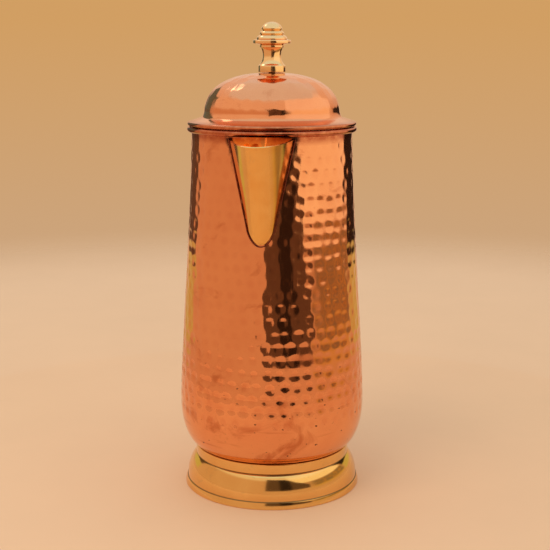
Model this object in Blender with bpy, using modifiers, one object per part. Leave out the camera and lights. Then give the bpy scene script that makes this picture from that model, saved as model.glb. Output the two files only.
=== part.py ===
"""Hammered copper water jug on a brass foot, with a brazed brass beak, a riveted brass ear handle
and a lift-off domed lid with a turned brass knob.

Metres, +Z up. The jug stands on z = 0, its spout towards -Y and its handle towards +Y. The origin is
the middle of its footprint. Every profile is a list of (radius, height) points about the jug's axis,
which AXIS_Y places.
"""

from math import asin, cos, pi, radians, sin, sqrt

import bmesh
import bpy
from mathutils import Matrix, Vector

GAP = 0.0003            # between pieces that touch or are soldered
SIDES = 40              # facets round the large turned pieces
SMALL_SIDES = 12        # facets round rivets and their washers
WELD = 0.00001

AXIS_Y = -0.0126        # the jug's axis, from the middle of the footprint

# Body shell
SHEET = 0.0008
MOUTH_RADIUS = 0.04865
MOUTH_Z = 0.2194
BELLY_RADIUS = 0.05715
BELLY_Z = 0.0542
BASE_TURN = (0.0158, 0.0298)    # half width and half height of the turn from belly to base
LEDGE_RADIUS = 0.0435           # where the shell's bottom ledge ends
BEAD_RADIUS = 0.0017
BEAD_CENTRE = (0.0497, 0.2226)
WIRE_RADIUS = 0.0005

# Foot
FOOT_NECK_RADIUS = 0.048
FOOT_NECK_LOW_Z = 0.0199
FOOT_GROOVE = (0.0474, 0.0194)  # the turned line between the neck and the swell
FOOT_SWELL = (0.0431, 0.0045)   # centre of the swell's elliptic curve
FOOT_SWELL_SIZE = (0.0103, 0.0165)
FOOT_EDGE = (0.0550, 0.0004)    # widest point of the bottom band
FOOT_REST_RADIUS = 0.0547
FOOT_WALL = 0.0022
FOOT_SHELF_WIDTH = 0.0012       # how far the shell's ledge reaches over the foot's inner wall
SOLDER_SIZE = (0.0024, 0.0032)  # width and height of the fillet inside the foot

# Spout
SPOUT_SHEET = 0.001
SPOUT_TIP_Z = 0.1603
SPOUT_LENGTH = 0.0600
SPOUT_TIP_HALF_WIDTH = 0.0046
SPOUT_FLARE = 0.215             # half width gained per height
SPOUT_TIP_ROUND = 0.008
SPOUT_REACH = 0.0294            # how far the lip's middle stands off its chord
SPOUT_LIP_DIP = 0.0026          # how far the lip's middle drops below its corners
BRAZE_RADIUS = 0.00035

# Pour opening in the shell, behind the spout
POUR_LOW_Z = 0.1700
POUR_HEIGHT = 0.0390
POUR_TIP_HALF_WIDTH = 0.0030
POUR_TIP_ROUND = 0.005
POUR_FLARE = 0.19
POUR_CORNER = 0.004
POUR_CUT_START = 0.042          # how far from the axis its cutter starts, inside the shell
POUR_CUT_DEPTH = 0.016

# Handle
PAD_UPPER_Z = 0.1975
PAD_LOWER_Z = 0.0960
PAD_HALF_WIDTH = 0.0095
PAD_HALF_HEIGHT = 0.0140
PAD_PROUD = 0.0030              # the pad's outer face, from the shell
STRAP_HALF_WIDTH = 0.0065
STRAP_HALF_THICKNESS = 0.0034
RIVET_OFFSET = 0.0090           # of each rivet above or below its pad's middle
RIVET_HEAD_RADIUS = 0.0028
RIVET_HEAD_HEIGHT = 0.0016
RIVET_PEEN = (0.0026, 0.0011)    # radius and height of the end hammered over inside
RIVET_SHANK_RADIUS = 0.0015
RIVET_WASHER_RADIUS = 0.0036
RIVET_WASHER_THICKNESS = 0.0008
RIVET_WASHER_GAP = 0.00045      # a flat washer's middle, from the curved shell

# Lid
LID_SHEET = 0.0007
LID_EDGE_RADIUS = 0.00125
LID_EDGE_CENTRE = (0.04985, 0.22585)
DOME_RADIUS = 0.0411
DOME_LOW_Z = 0.2298
DOME_HEIGHT = 0.0261
DOME_ROUNDNESS = 2.45
SLEEVE_SHEET = 0.0006
SLEEVE_RADIUS = 0.0468
SLEEVE_SEAT_RADIUS = 0.0438     # inner edge of the sleeve's flat that is soldered under the flange
SLEEVE_LOW_Z = 0.2140

# Knob and its screw
KNOB_LOW_Z = DOME_LOW_Z + DOME_HEIGHT + GAP
KNOB_SIDES = 24
SCREW_RADIUS = 0.0020
SCREW_CLEARANCE = 0.0023
SCREW_LENGTH = 0.0150
SCREW_HEAD_RADIUS = 0.0040
SCREW_HEAD_HEIGHT = 0.0022
KNOB_WASHER_RADIUS = 0.0070
KNOB_WASHER_THICKNESS = 0.0008
KNOB_WASHER_DROP = 0.0006       # the cupped washer's edge, below its middle

COPPER = (0.80, 0.36, 0.20)
BRASS = (0.83, 0.66, 0.33)


# Scene

def clear_scene():
    for obj in list(bpy.data.objects):
        bpy.data.objects.remove(obj)


def new_collection(name):
    collection = bpy.data.collections.new(name)
    bpy.context.scene.collection.children.link(collection)
    return collection


def new_axis(name):
    """An empty on the jug's axis that its pieces are parented to."""
    axis = bpy.data.objects.new(name, None)
    axis.location = (0, AXIS_Y, 0)
    axis.empty_display_size = 0.02
    PARTS.objects.link(axis)
    return axis


def new_material(name, color, roughness, metallic=1.0):
    material = bpy.data.materials.new(name)
    material.use_nodes = True
    shader = material.node_tree.nodes["Principled BSDF"]
    shader.inputs["Base Color"].default_value = (*color, 1)
    shader.inputs["Roughness"].default_value = roughness
    shader.inputs["Metallic"].default_value = metallic
    material.diffuse_color = (*color, 1)
    return material


def new_part(name, mesh, axis, color, roughness):
    part = bpy.data.objects.new(name, mesh)
    part.parent = axis
    mesh.materials.append(new_material(name, color, roughness))
    PARTS.objects.link(part)
    return part


def new_cutter(name, mesh, axis):
    cutter = bpy.data.objects.new(name, mesh)
    cutter.parent = axis
    cutter.hide_render = True
    cutter.display_type = "WIRE"
    CUTTERS.objects.link(cutter)
    return cutter


# Profiles

def bezier(start, start_handle, end_handle, end, steps):
    """Points along a cubic curve, both ends included."""
    points = []
    for step in range(steps + 1):
        t = step / steps
        weights = ((1 - t) ** 3, 3 * t * (1 - t) ** 2, 3 * t * t * (1 - t), t ** 3)
        corners = (start, start_handle, end_handle, end)
        r = sum(weight * corner[0] for weight, corner in zip(weights, corners))
        z = sum(weight * corner[1] for weight, corner in zip(weights, corners))
        points.append((r, z))
    return points


def signed_power(value, power):
    return abs(value) ** power if value >= 0 else -abs(value) ** power


def arc(centre, radii, first, last, steps, roundness=2.0):
    """Points on an ellipse from one angle to another; a roundness over 2 fills its corners out."""
    points = []
    for step in range(steps + 1):
        angle = radians(first + (last - first) * step / steps)
        r = centre[0] + radii[0] * signed_power(cos(angle), 2 / roundness)
        z = centre[1] + radii[1] * signed_power(sin(angle), 2 / roundness)
        points.append((r, z))
    return points


def offset_line(line, distance):
    """The line moved sideways: outwards for a line that runs down its outer side."""
    moved = []
    for index, (r, z) in enumerate(line):
        before = line[max(index - 1, 0)]
        after = line[min(index + 1, len(line) - 1)]
        along = Vector((after[0] - before[0], after[1] - before[1])).normalized()
        moved.append((r - along.y * distance, z + along.x * distance))
    return moved


def height_on_line(line, radius):
    """The height at which a line that runs inwards and down reaches a radius."""
    for (r0, z0), (r1, z1) in zip(line, line[1:]):
        if r1 <= radius <= r0:
            return z0 + (z1 - z0) * (r0 - radius) / (r0 - r1)
    return line[-1][1]


def radius_on_line(line, height):
    """The radius at which a line that runs down reaches a height; above the line, its first radius."""
    if height > line[0][1]:
        return line[0][0]
    for (r0, z0), (r1, z1) in zip(line, line[1:]):
        if z1 <= height <= z0:
            return r0 + (r1 - r0) * (z0 - height) / (z0 - z1)
    return line[-1][0]


def profile_mesh(name, line, closed=False):
    mesh = bpy.data.meshes.new(name)
    count = len(line)
    edges = [(index, index + 1) for index in range(count - 1)]
    if closed:
        edges.append((count - 1, 0))
    mesh.from_pydata([(r, 0, z) for r, z in line], edges, [])
    return mesh


def turn(part, sides):
    screw = part.modifiers.new("turn", "SCREW")
    screw.steps = sides
    screw.render_steps = sides
    screw.use_merge_vertices = True
    screw.merge_threshold = WELD
    screw.use_smooth_shade = True


def thicken(part, thickness, offset):
    """Turns a surface into sheet: offset 1 adds it outside the surface, -1 inside."""
    solidify = part.modifiers.new("sheet", "SOLIDIFY")
    solidify.thickness = thickness
    solidify.offset = offset
    solidify.use_even_offset = True


def cut(part, cutter, operation="DIFFERENCE"):
    boolean = part.modifiers.new(cutter.name, "BOOLEAN")
    boolean.operation = operation
    boolean.solver = "EXACT"
    boolean.object = cutter


# Turned pieces start as one of these two

def turned_sheet(name, line, thickness, offset, axis, color, roughness):
    part = new_part(name, profile_mesh(name, line), axis, color, roughness)
    turn(part, SIDES)
    thicken(part, thickness, offset)
    return part


def turned_ring(name, outline, axis, color, roughness, sides=SIDES):
    part = new_part(name, profile_mesh(name, outline, closed=True), axis, color, roughness)
    turn(part, sides)
    return part


# The shell's shape, which its neighbours follow

def shell_side(steps):
    """The shell's outer side from the mouth down to the belly."""
    mouth = (MOUTH_RADIUS, MOUTH_Z)
    mouth_handle = (MOUTH_RADIUS + 0.0016, MOUTH_Z - 0.0623)
    belly_handle = (BELLY_RADIUS, BELLY_Z + 0.0281)
    return bezier(mouth, mouth_handle, belly_handle, (BELLY_RADIUS, BELLY_Z), steps)


def shell_base(last_angle, steps):
    """The shell's outer side from the belly round to its bottom ledge."""
    centre = (BELLY_RADIUS - BASE_TURN[0], BELLY_Z)
    return arc(centre, BASE_TURN, 0, last_angle, steps, roundness=2.19)


def shell_outside(side_steps=7, base_steps=6):
    ledge_angle = -82
    return shell_side(side_steps) + shell_base(ledge_angle, base_steps)[1:]


def shell_radius(height):
    return radius_on_line(shell_outside(40, 20), height)


def bead_line():
    """The rim bead's visible side, from its curled end under the bead, over the top, to the inside."""
    return arc(BEAD_CENTRE, (BEAD_RADIUS, BEAD_RADIUS), -95, 180, 6)


# Body

def make_body_wall():
    inside = offset_line(shell_outside(), -SHEET)
    part = turned_sheet("body_wall", bead_line() + inside, SHEET, 1, JUG, COPPER, 0.25)
    cut(part, make_pour_cutter())
    for pad_z in (PAD_UPPER_Z, PAD_LOWER_Z):
        for side in (1, -1):
            cut(part, make_rivet_cutter(pad_z + side * RIVET_OFFSET))
    return part


def make_rim_wire():
    """The wire that the rim is rolled round."""
    bead_r, bead_z = BEAD_CENTRE
    outline = arc((bead_r, bead_z), (WIRE_RADIUS, WIRE_RADIUS), 360, 60, 5)
    return turned_ring("rim_wire", outline, JUG, (0.45, 0.43, 0.40), 0.4)


def make_bottom_plate():
    """A dished disc whose turned-up edge laps the inside of the shell."""
    lap = offset_line(shell_base(-80, 6), -SHEET - GAP)[3:]
    middle_z = lap[-1][1] + 0.0030
    dish = bezier(lap[-1], (0.036, lap[-1][1] - 0.0008), (0.020, middle_z), (0, middle_z), 4)
    return turned_sheet("bottom_plate", lap + dish[1:], SHEET, -1, JUG, COPPER, 0.4)


def rounded_width(height, tip_half_width, flare, tip_round):
    """Half width of a V with a round tip, at a height above the tip."""
    left = max(0.0, 1 - height / tip_round)
    return (tip_half_width + flare * height) * sqrt(max(0.0, 1 - left * left))


def pour_half_width(height):
    width = rounded_width(height, POUR_TIP_HALF_WIDTH, POUR_FLARE, POUR_TIP_ROUND)
    left = max(0.0, 1 - (POUR_HEIGHT - height) / POUR_CORNER)
    return width - POUR_CORNER * (1 - sqrt(1 - left * left))


def make_pour_cutter():
    """A rounded triangle that goes through the front of the shell only."""
    steps = 14
    heights = [POUR_HEIGHT * (1 - cos(pi * step / steps)) / 2 for step in range(steps + 1)]
    right = [(pour_half_width(height), POUR_LOW_Z + height) for height in heights]
    left = [(-x, z) for x, z in reversed(right[1:])]
    mesh = bpy.data.meshes.new("pour_cutter")
    shape = bmesh.new()
    corners = [shape.verts.new((x, -POUR_CUT_START, z)) for x, z in right + left]
    face = shape.faces.new(corners)
    swept = bmesh.ops.extrude_face_region(shape, geom=[face])
    moved = [item for item in swept["geom"] if isinstance(item, bmesh.types.BMVert)]
    bmesh.ops.translate(shape, vec=(0, -POUR_CUT_DEPTH, 0), verts=moved)
    bmesh.ops.recalc_face_normals(shape, faces=shape.faces)
    shape.to_mesh(mesh)
    shape.free()
    return new_cutter("pour_cutter", mesh, JUG)


# Foot

def make_foot_ring():
    """The cast brass foot: a plain neck, a swelling skirt, a crisp line and a flared bottom band."""
    under = offset_line(shell_base(-82, 6), GAP)
    neck_z = height_on_line(under, FOOT_NECK_RADIUS)
    shelf_r = LEDGE_RADIUS + FOOT_SHELF_WIDTH
    shelf_z = height_on_line(under, shelf_r)
    neck = [(shelf_r, shelf_z), (FOOT_NECK_RADIUS - 0.0004, neck_z), (FOOT_NECK_RADIUS, neck_z - 0.0006)]
    neck += [(FOOT_NECK_RADIUS, FOOT_NECK_LOW_Z), FOOT_GROOVE]
    swell = arc(FOOT_SWELL, FOOT_SWELL_SIZE, 61, 0, 6)
    band = bezier((0.0536, 0.0043), (0.0542, 0.0038), (0.0546, 0.0020), FOOT_EDGE, 3)
    rest = [(FOOT_REST_RADIUS, 0), (FOOT_REST_RADIUS - FOOT_WALL, 0)]
    inner = [(0.0513, 0.0045), (0.0497, 0.0120), (0.0468, 0.0165), (shelf_r, 0.0193)]
    return turned_ring("foot_ring", neck + swell + band + rest + inner, JUG, BRASS, 0.2)


def make_foot_solder():
    """A fillet in the corner between the foot's inner wall and the shell's ledge."""
    under = offset_line(shell_base(-82, 6), GAP)
    outer_r = LEDGE_RADIUS + FOOT_SHELF_WIDTH - GAP
    top_z = height_on_line(under, outer_r)
    width, height = SOLDER_SIZE
    outline = [(outer_r, top_z - GAP), (outer_r, top_z - height), (outer_r - width, top_z - 0.0010)]
    return turned_ring("foot_solder", outline, JUG, (0.55, 0.52, 0.48), 0.5)


# Spout

def spout_half_width(height):
    return rounded_width(height, SPOUT_TIP_HALF_WIDTH, SPOUT_FLARE, SPOUT_TIP_ROUND)


def spout_heights():
    """Heights above the tip: close together round the tip, then even."""
    tip_steps = 5
    tip = [SPOUT_TIP_ROUND * (1 - cos(pi / 2 * step / tip_steps)) for step in range(tip_steps + 1)]
    side_steps = 7
    rise = SPOUT_LENGTH - SPOUT_TIP_ROUND
    return tip + [SPOUT_TIP_ROUND + rise * (step + 1) / side_steps for step in range(side_steps)]


def spout_point(height, across):
    """A point of the spout's inner face; across runs from -1 to 1."""
    turn_angle = across * pi / 2
    half_width = spout_half_width(height)
    wall = shell_radius(SPOUT_TIP_Z + height) + GAP
    part = height / SPOUT_LENGTH
    x = half_width * sin(turn_angle)
    out = sqrt(wall ** 2 - half_width ** 2) + SPOUT_REACH * part ** 1.15 * cos(turn_angle) ** 1.5
    dip = SPOUT_LIP_DIP * part ** 3 * cos(turn_angle)
    return Vector((x, -out, SPOUT_TIP_Z + height - dip))


def make_spout():
    across_steps = 16
    mesh = bpy.data.meshes.new("spout")
    shape = bmesh.new()
    heights = spout_heights()
    tip = shape.verts.new(spout_point(0, 0))
    rows = []
    for height in heights[1:]:
        places = [2 * step / across_steps - 1 for step in range(across_steps + 1)]
        rows.append([shape.verts.new(spout_point(height, place)) for place in places])
    for left, right in zip(rows[0], rows[0][1:]):
        shape.faces.new((tip, right, left))
    for low, high in zip(rows, rows[1:]):
        for index in range(across_steps):
            shape.faces.new((low[index], low[index + 1], high[index + 1], high[index]))
    shape.to_mesh(mesh)
    shape.free()
    mesh.shade_smooth()
    part = new_part("spout", mesh, JUG, BRASS, 0.2)
    thicken(part, SPOUT_SHEET, 1)
    return part


def wall_point(sideways, height, proud):
    """A point off the front of the shell, from a distance measured round it."""
    radius = shell_radius(height)
    angle = sideways / radius
    return Vector(((radius + proud) * sin(angle), -(radius + proud) * cos(angle), height))


def make_spout_braze():
    """A thin bead of braze that follows the spout's outline on the shell."""
    clear = SPOUT_SHEET + GAP + BRAZE_RADIUS
    right = []
    for height in spout_heights():
        half_width = spout_half_width(height)
        wall = shell_radius(SPOUT_TIP_Z + height)
        right.append(Vector((wall * asin(half_width / wall), SPOUT_TIP_Z + height)))
    outline = [Vector((-point.x, point.y)) for point in reversed(right[1:])] + right
    route = []
    for index, point in enumerate(outline):
        along = outline[min(index + 1, len(outline) - 1)] - outline[max(index - 1, 0)]
        sideways = Vector((along.y, -along.x)).normalized() * clear
        route.append(wall_point(point.x + sideways.x, point.y + sideways.y, GAP + BRAZE_RADIUS))
    curve = bpy.data.curves.new("spout_braze", "CURVE")
    curve.dimensions = "3D"
    curve.bevel_depth = BRAZE_RADIUS
    curve.bevel_resolution = 1
    curve.use_fill_caps = True
    spline = curve.splines.new("POLY")
    spline.points.add(len(route) - 1)
    for point, place in zip(spline.points, route):
        point.co = (*place, 1)
    return new_part("spout_braze", curve, JUG, (0.48, 0.16, 0.09), 0.5)


# Handle

def pad_face(pad_z):
    """How far a pad's outer face stands from the axis."""
    return shell_radius(pad_z) + PAD_PROUD


def strap_section():
    """The oval that the handle's strap has all along; only a guide."""
    curve = bpy.data.curves.new("strap_section", "CURVE")
    curve.dimensions = "2D"
    sides = 12
    spline = curve.splines.new("POLY")
    spline.points.add(sides - 1)
    spline.use_cyclic_u = True
    for index, point in enumerate(spline.points):
        angle = 2 * pi * index / sides
        point.co = (STRAP_HALF_WIDTH * cos(angle), STRAP_HALF_THICKNESS * sin(angle), 0, 1)
    guide = bpy.data.objects.new("strap_section", curve)
    guide.hide_render = True
    guide.display_type = "WIRE"
    CUTTERS.objects.link(guide)
    return guide


def strap_route():
    """(distance from the axis, height, handle before, handle after) for each point of the strap."""
    top = pad_face(PAD_UPPER_Z) - 0.002
    low = pad_face(PAD_LOWER_Z) - 0.002
    return [
        ((top, PAD_UPPER_Z), (top - 0.008, PAD_UPPER_Z - 0.001), (top + 0.012, PAD_UPPER_Z + 0.002)),
        ((0.0840, 0.2020), (0.0760, 0.2060), (0.0920, 0.1980)),
        ((0.0978, 0.1730), (0.0978, 0.1860), (0.0978, 0.1540)),
        ((0.0830, 0.1240), (0.0895, 0.1380), (0.0770, 0.1110)),
        ((low, PAD_LOWER_Z), (low + 0.010, PAD_LOWER_Z + 0.002), (low - 0.008, PAD_LOWER_Z - 0.002)),
    ]


def make_strap():
    curve = bpy.data.curves.new("handle_strap", "CURVE")
    curve.dimensions = "3D"
    curve.twist_mode = "MINIMUM"
    curve.bevel_mode = "OBJECT"
    curve.bevel_object = strap_section()
    curve.use_fill_caps = True
    curve.resolution_u = 6
    spline = curve.splines.new("BEZIER")
    route = strap_route()
    spline.bezier_points.add(len(route) - 1)
    for point, (place, before, after) in zip(spline.bezier_points, route):
        point.co = (0, *place)
        point.handle_left = (0, *before)
        point.handle_right = (0, *after)
    guide = bpy.data.objects.new("handle_strap", curve)
    guide.parent = JUG
    PARTS.objects.link(guide)
    return guide


def make_pad_mesh(pad_z):
    """An oval pad, thick enough to be cut to the shell's curve."""
    inner = shell_radius(pad_z) - 0.004
    depth = pad_face(pad_z) - inner
    mesh = bpy.data.meshes.new("pad")
    shape = bmesh.new()
    bmesh.ops.create_cone(shape, cap_ends=True, segments=28, radius1=1, radius2=1, depth=depth)
    stretch = Matrix.Diagonal((PAD_HALF_WIDTH, PAD_HALF_HEIGHT, 1, 1))
    place = Matrix.Translation((0, inner + depth / 2, pad_z)) @ Matrix.Rotation(pi / 2, 4, "X")
    bmesh.ops.transform(shape, matrix=place @ stretch, verts=shape.verts)
    shape.to_mesh(mesh)
    shape.free()
    return mesh


def make_shell_cutter():
    """A solid the size of the shell with the gap added, for pieces that sit on it."""
    line = offset_line(shell_outside(), GAP)
    outline = [(0, line[0][1])] + line + [(0, line[-1][1])]
    cutter = new_cutter("shell_cutter", profile_mesh("shell_cutter", outline), JUG)
    turn(cutter, SIDES)
    return cutter


def make_rivet_cutter(height):
    """A round hole along Y through the back of the shell and through a pad."""
    mesh = bpy.data.meshes.new("rivet_hole")
    shape = bmesh.new()
    radius = RIVET_SHANK_RADIUS + GAP
    bmesh.ops.create_cone(shape, cap_ends=True, segments=SMALL_SIDES, radius1=radius, radius2=radius,
                          depth=0.012)
    place = Matrix.Translation((0, shell_radius(height), height)) @ Matrix.Rotation(pi / 2, 4, "X")
    bmesh.ops.transform(shape, matrix=place, verts=shape.verts)
    shape.to_mesh(mesh)
    shape.free()
    return new_cutter(f"rivet_hole_{round(height * 1000)}", mesh, JUG)


def make_handle():
    """One brass casting: the strap with its two pads, cut to sit on the shell."""
    guide = make_strap()
    bpy.context.view_layer.update()
    graph = bpy.context.evaluated_depsgraph_get()
    mesh = bpy.data.meshes.new_from_object(guide.evaluated_get(graph))
    shape = bmesh.new()
    shape.from_mesh(mesh)
    bmesh.ops.remove_doubles(shape, verts=shape.verts, dist=WELD)
    bmesh.ops.recalc_face_normals(shape, faces=shape.faces)
    shape.to_mesh(mesh)
    shape.free()
    mesh.materials.clear()
    place = guide.matrix_world.copy()
    bpy.data.objects.remove(guide)
    part = new_part("handle", mesh, JUG, BRASS, 0.25)
    part.matrix_world = place
    for pad_z in (PAD_UPPER_Z, PAD_LOWER_Z):
        cut(part, new_cutter("pad", make_pad_mesh(pad_z), JUG), "UNION")
    cut(part, make_shell_cutter())
    for pad_z in (PAD_UPPER_Z, PAD_LOWER_Z):
        for side in (1, -1):
            cut(part, make_rivet_cutter(pad_z + side * RIVET_OFFSET))
    return part


def lay_along_y(part, height):
    """Places a small turned piece so that its top faces outwards at the back of the jug."""
    part.location = (0, 0, height)
    part.rotation_euler = (-pi / 2, 0, 0)


def make_rivet(name, pad_z, height):
    """A dome-headed rivet, its shank and the head peened over its washer inside."""
    face = pad_face(pad_z) + GAP
    wall = shell_radius(height) - SHEET
    peen = wall - RIVET_WASHER_GAP - RIVET_WASHER_THICKNESS - GAP
    head = arc((0, face), (RIVET_HEAD_RADIUS, RIVET_HEAD_HEIGHT), 90, 0, 4)
    shank = [(RIVET_SHANK_RADIUS, face), (RIVET_SHANK_RADIUS, peen)]
    peened = arc((0, peen), RIVET_PEEN, 0, -90, 3)
    part = new_part(name, profile_mesh(name, head + shank + peened), JUG, BRASS, 0.3)
    turn(part, SMALL_SIDES)
    lay_along_y(part, height)
    return part


def make_rivet_washer(name, height):
    outer = shell_radius(height) - SHEET - RIVET_WASHER_GAP
    inner = outer - RIVET_WASHER_THICKNESS
    hole = RIVET_SHANK_RADIUS + GAP
    outline = [(hole, outer), (RIVET_WASHER_RADIUS, outer), (RIVET_WASHER_RADIUS, inner), (hole, inner)]
    part = turned_ring(name, outline, JUG, COPPER, 0.4, SMALL_SIDES)
    lay_along_y(part, height)
    return part


def make_rivets():
    for pad_name, pad_z in (("upper", PAD_UPPER_Z), ("lower", PAD_LOWER_Z)):
        for place, side in (("top", 1), ("low", -1)):
            height = pad_z + side * RIVET_OFFSET
            make_rivet(f"rivet_{pad_name}_{place}", pad_z, height)
            make_rivet_washer(f"washer_{pad_name}_{place}", height)


# Lid

def flange_line():
    """The flange's upper side, from the foot of the dome out to the rolled edge."""
    edge_r, edge_z = LID_EDGE_CENTRE
    return [(DOME_RADIUS + 0.0009, DOME_LOW_Z - 0.0002), (edge_r - 0.0008, edge_z + LID_EDGE_RADIUS + 0.0003)]


def make_lid_dome():
    """The hammered dome, its flange and the edge rolled under, with a hole for the knob's screw."""
    hole = (SCREW_CLEARANCE, DOME_LOW_Z + DOME_HEIGHT)
    dome = arc((0, DOME_LOW_Z), (DOME_RADIUS, DOME_HEIGHT), 84, 6, 7, roundness=DOME_ROUNDNESS)
    edge = arc(LID_EDGE_CENTRE, (LID_EDGE_RADIUS, LID_EDGE_RADIUS), 75, -120, 5)
    return turned_sheet("lid_dome", [hole] + dome + flange_line() + edge, LID_SHEET, -1, LID, COPPER, 0.25)


def make_lid_sleeve():
    """The collar under the flange that drops into the mouth and keeps the lid in the middle."""
    under = offset_line(flange_line(), -LID_SHEET - GAP)
    (inner_r, inner_z), (outer_r, outer_z) = under
    slope = (outer_z - inner_z) / (outer_r - inner_r)
    seat = [(radius, inner_z + slope * (radius - inner_r)) for radius in (SLEEVE_SEAT_RADIUS, SLEEVE_RADIUS)]
    skirt = [(SLEEVE_RADIUS, SLEEVE_LOW_Z + 0.0020), (SLEEVE_RADIUS - 0.0006, SLEEVE_LOW_Z)]
    return turned_sheet("lid_sleeve", seat + skirt, SLEEVE_SHEET, -1, LID, COPPER, 0.35)


# Knob

def tier(inner, outer, low, high):
    """One swelling step of the knob's beehive, undercut where it meets the next."""
    return arc((inner, low), (outer - inner, high - low), 80, 14, 3)


def rounded_band(radius, low, high, edge=0.0006):
    """A turned band: its rounded upper edge, its side and its rounded lower edge."""
    upper = arc((radius - edge, high - edge), (edge, edge), 80, 0, 2)
    return upper + arc((radius - edge, low + edge), (edge, edge), 0, -80, 2)


def knob_outline():
    """(radius, height above the knob's base), from the top down, one curve for each turned feature."""
    cap = arc((0, 0.0240), (0.0065, 0.0054), 90, 14, 5)
    upper_tier = tier(0.0050, 0.0075, 0.0219, 0.0243)
    middle_tier = tier(0.0062, 0.0094, 0.0187, 0.0218)
    shoulder = [(0.0091, 0.0192), (0.0101, 0.0189)]
    disc = rounded_band(0.0114, 0.0166, 0.0188)
    ring = rounded_band(0.0073, 0.0142, 0.0160)
    waist = bezier((0.0064, 0.0136), (0.0052, 0.0112), (0.0048, 0.0075), (0.0075, 0.0043), 5)
    collar = [(0.0079, 0.0040), (0.0082, 0.0036), (0.0082, 0)]
    return cap + upper_tier + middle_tier + shoulder + disc + ring + waist + collar


def make_knob():
    """The turned finial, with a blind hole up its middle for the screw."""
    depth = SCREW_LENGTH - KNOB_WASHER_THICKNESS - LID_SHEET
    hole = [(SCREW_CLEARANCE, 0), (SCREW_CLEARANCE, depth), (0, depth + 0.0010)]
    outline = [(r, KNOB_LOW_Z + z) for r, z in knob_outline() + hole]
    part = new_part("knob", profile_mesh("knob", outline), LID, BRASS, 0.2)
    turn(part, KNOB_SIDES)
    return part


def make_knob_washer():
    top = DOME_LOW_Z + DOME_HEIGHT - LID_SHEET - RIVET_WASHER_GAP
    low = top - KNOB_WASHER_THICKNESS
    outer = KNOB_WASHER_RADIUS
    outer_top = top - KNOB_WASHER_DROP
    outer_low = low - KNOB_WASHER_DROP
    outline = [(SCREW_CLEARANCE, top), (outer, outer_top), (outer, outer_low), (SCREW_CLEARANCE, low)]
    return turned_ring("knob_washer", outline, LID, (0.62, 0.62, 0.60), 0.35, KNOB_SIDES)


def make_knob_screw():
    """A pan-head screw that comes up from inside the dome."""
    washer_top = DOME_LOW_Z + DOME_HEIGHT - LID_SHEET - RIVET_WASHER_GAP
    seat = washer_top - KNOB_WASHER_THICKNESS - KNOB_WASHER_DROP - GAP
    top = seat + SCREW_LENGTH - 0.001
    shank = [(0, top), (SCREW_RADIUS - 0.0004, top), (SCREW_RADIUS, top - 0.0005), (SCREW_RADIUS, seat)]
    head = [(SCREW_HEAD_RADIUS, seat), (SCREW_HEAD_RADIUS, seat - 0.0012)]
    low = [(SCREW_HEAD_RADIUS - 0.0010, seat - SCREW_HEAD_HEIGHT), (0, seat - SCREW_HEAD_HEIGHT)]
    part = new_part("knob_screw", profile_mesh("knob_screw", shank + head + low), LID, (0.62, 0.62, 0.60), 0.3)
    turn(part, KNOB_SIDES)
    return part


clear_scene()
PARTS = new_collection("copper_water_jug")
CUTTERS = new_collection("cutters")
JUG = new_axis("jug_axis")
LID = new_axis("lid_axis")

make_body_wall()
make_rim_wire()
make_bottom_plate()
make_foot_ring()
make_foot_solder()
make_spout()
make_spout_braze()
make_handle()
make_rivets()
make_lid_dome()
make_lid_sleeve()
make_knob()
make_knob_washer()
make_knob_screw()
bpy.context.view_layer.update()
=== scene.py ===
"""The looks of the hammered copper water jug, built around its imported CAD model.

Metres, +Z up, spout towards -Y, handle towards +Y. Each profile is a list of (radius, height) points
about the jug's axis. Every piece is modelled about that axis and then placed on it.
"""

from math import asin, atan2, cos, degrees, hypot, pi, radians, sin, sqrt

import bmesh
import bpy
import numpy as np
from mathutils import Matrix, Vector


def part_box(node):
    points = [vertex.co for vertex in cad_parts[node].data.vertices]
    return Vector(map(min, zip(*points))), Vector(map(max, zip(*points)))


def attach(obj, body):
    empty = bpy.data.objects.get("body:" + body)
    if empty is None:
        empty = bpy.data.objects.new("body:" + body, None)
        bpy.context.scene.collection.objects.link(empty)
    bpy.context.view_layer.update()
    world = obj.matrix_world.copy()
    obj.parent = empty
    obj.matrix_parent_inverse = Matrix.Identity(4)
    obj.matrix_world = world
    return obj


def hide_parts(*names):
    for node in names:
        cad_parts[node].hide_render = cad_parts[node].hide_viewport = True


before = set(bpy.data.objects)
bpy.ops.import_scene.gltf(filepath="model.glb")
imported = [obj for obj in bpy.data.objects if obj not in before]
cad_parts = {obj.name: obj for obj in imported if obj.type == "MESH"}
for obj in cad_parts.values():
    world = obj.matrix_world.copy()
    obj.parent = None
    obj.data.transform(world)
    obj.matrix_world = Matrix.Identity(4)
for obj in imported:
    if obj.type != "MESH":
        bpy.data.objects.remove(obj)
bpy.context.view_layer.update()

GAP = 0.0003                    # between pieces that touch or are soldered
SEED = 11

# The jug's axis and the heights that the CAD model gives
AXIS_Y = (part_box("lid_dome")[0].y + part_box("lid_dome")[1].y) / 2
KNOB_LOW_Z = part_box("knob")[0].z
SLEEVE_LOW_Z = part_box("lid_sleeve")[0].z
DOME_TOP_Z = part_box("lid_dome")[1].z
WASHER_TOP_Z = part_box("knob_washer")[1].z
SCREW_LOW_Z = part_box("knob_screw")[0].z
SCREW_TOP_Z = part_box("knob_screw")[1].z

# Body shell
SHEET = 0.0008
MOUTH_RADIUS = 0.04865
MOUTH_Z = 0.2194
BELLY_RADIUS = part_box("body_wall")[1].x
BELLY_Z = 0.0542
BASE_TURN = (0.0158, 0.0298)    # half width and half height of the turn from belly to base
BASE_ROUNDNESS = 2.19
LEDGE_RADIUS = 0.0435           # where the shell's bottom ledge ends
LEDGE_ANGLE = -82
BEAD_RADIUS = 0.0017
BEAD_CENTRE = (0.0497, 0.2226)
WIRE_RADIUS = 0.0005

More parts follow.
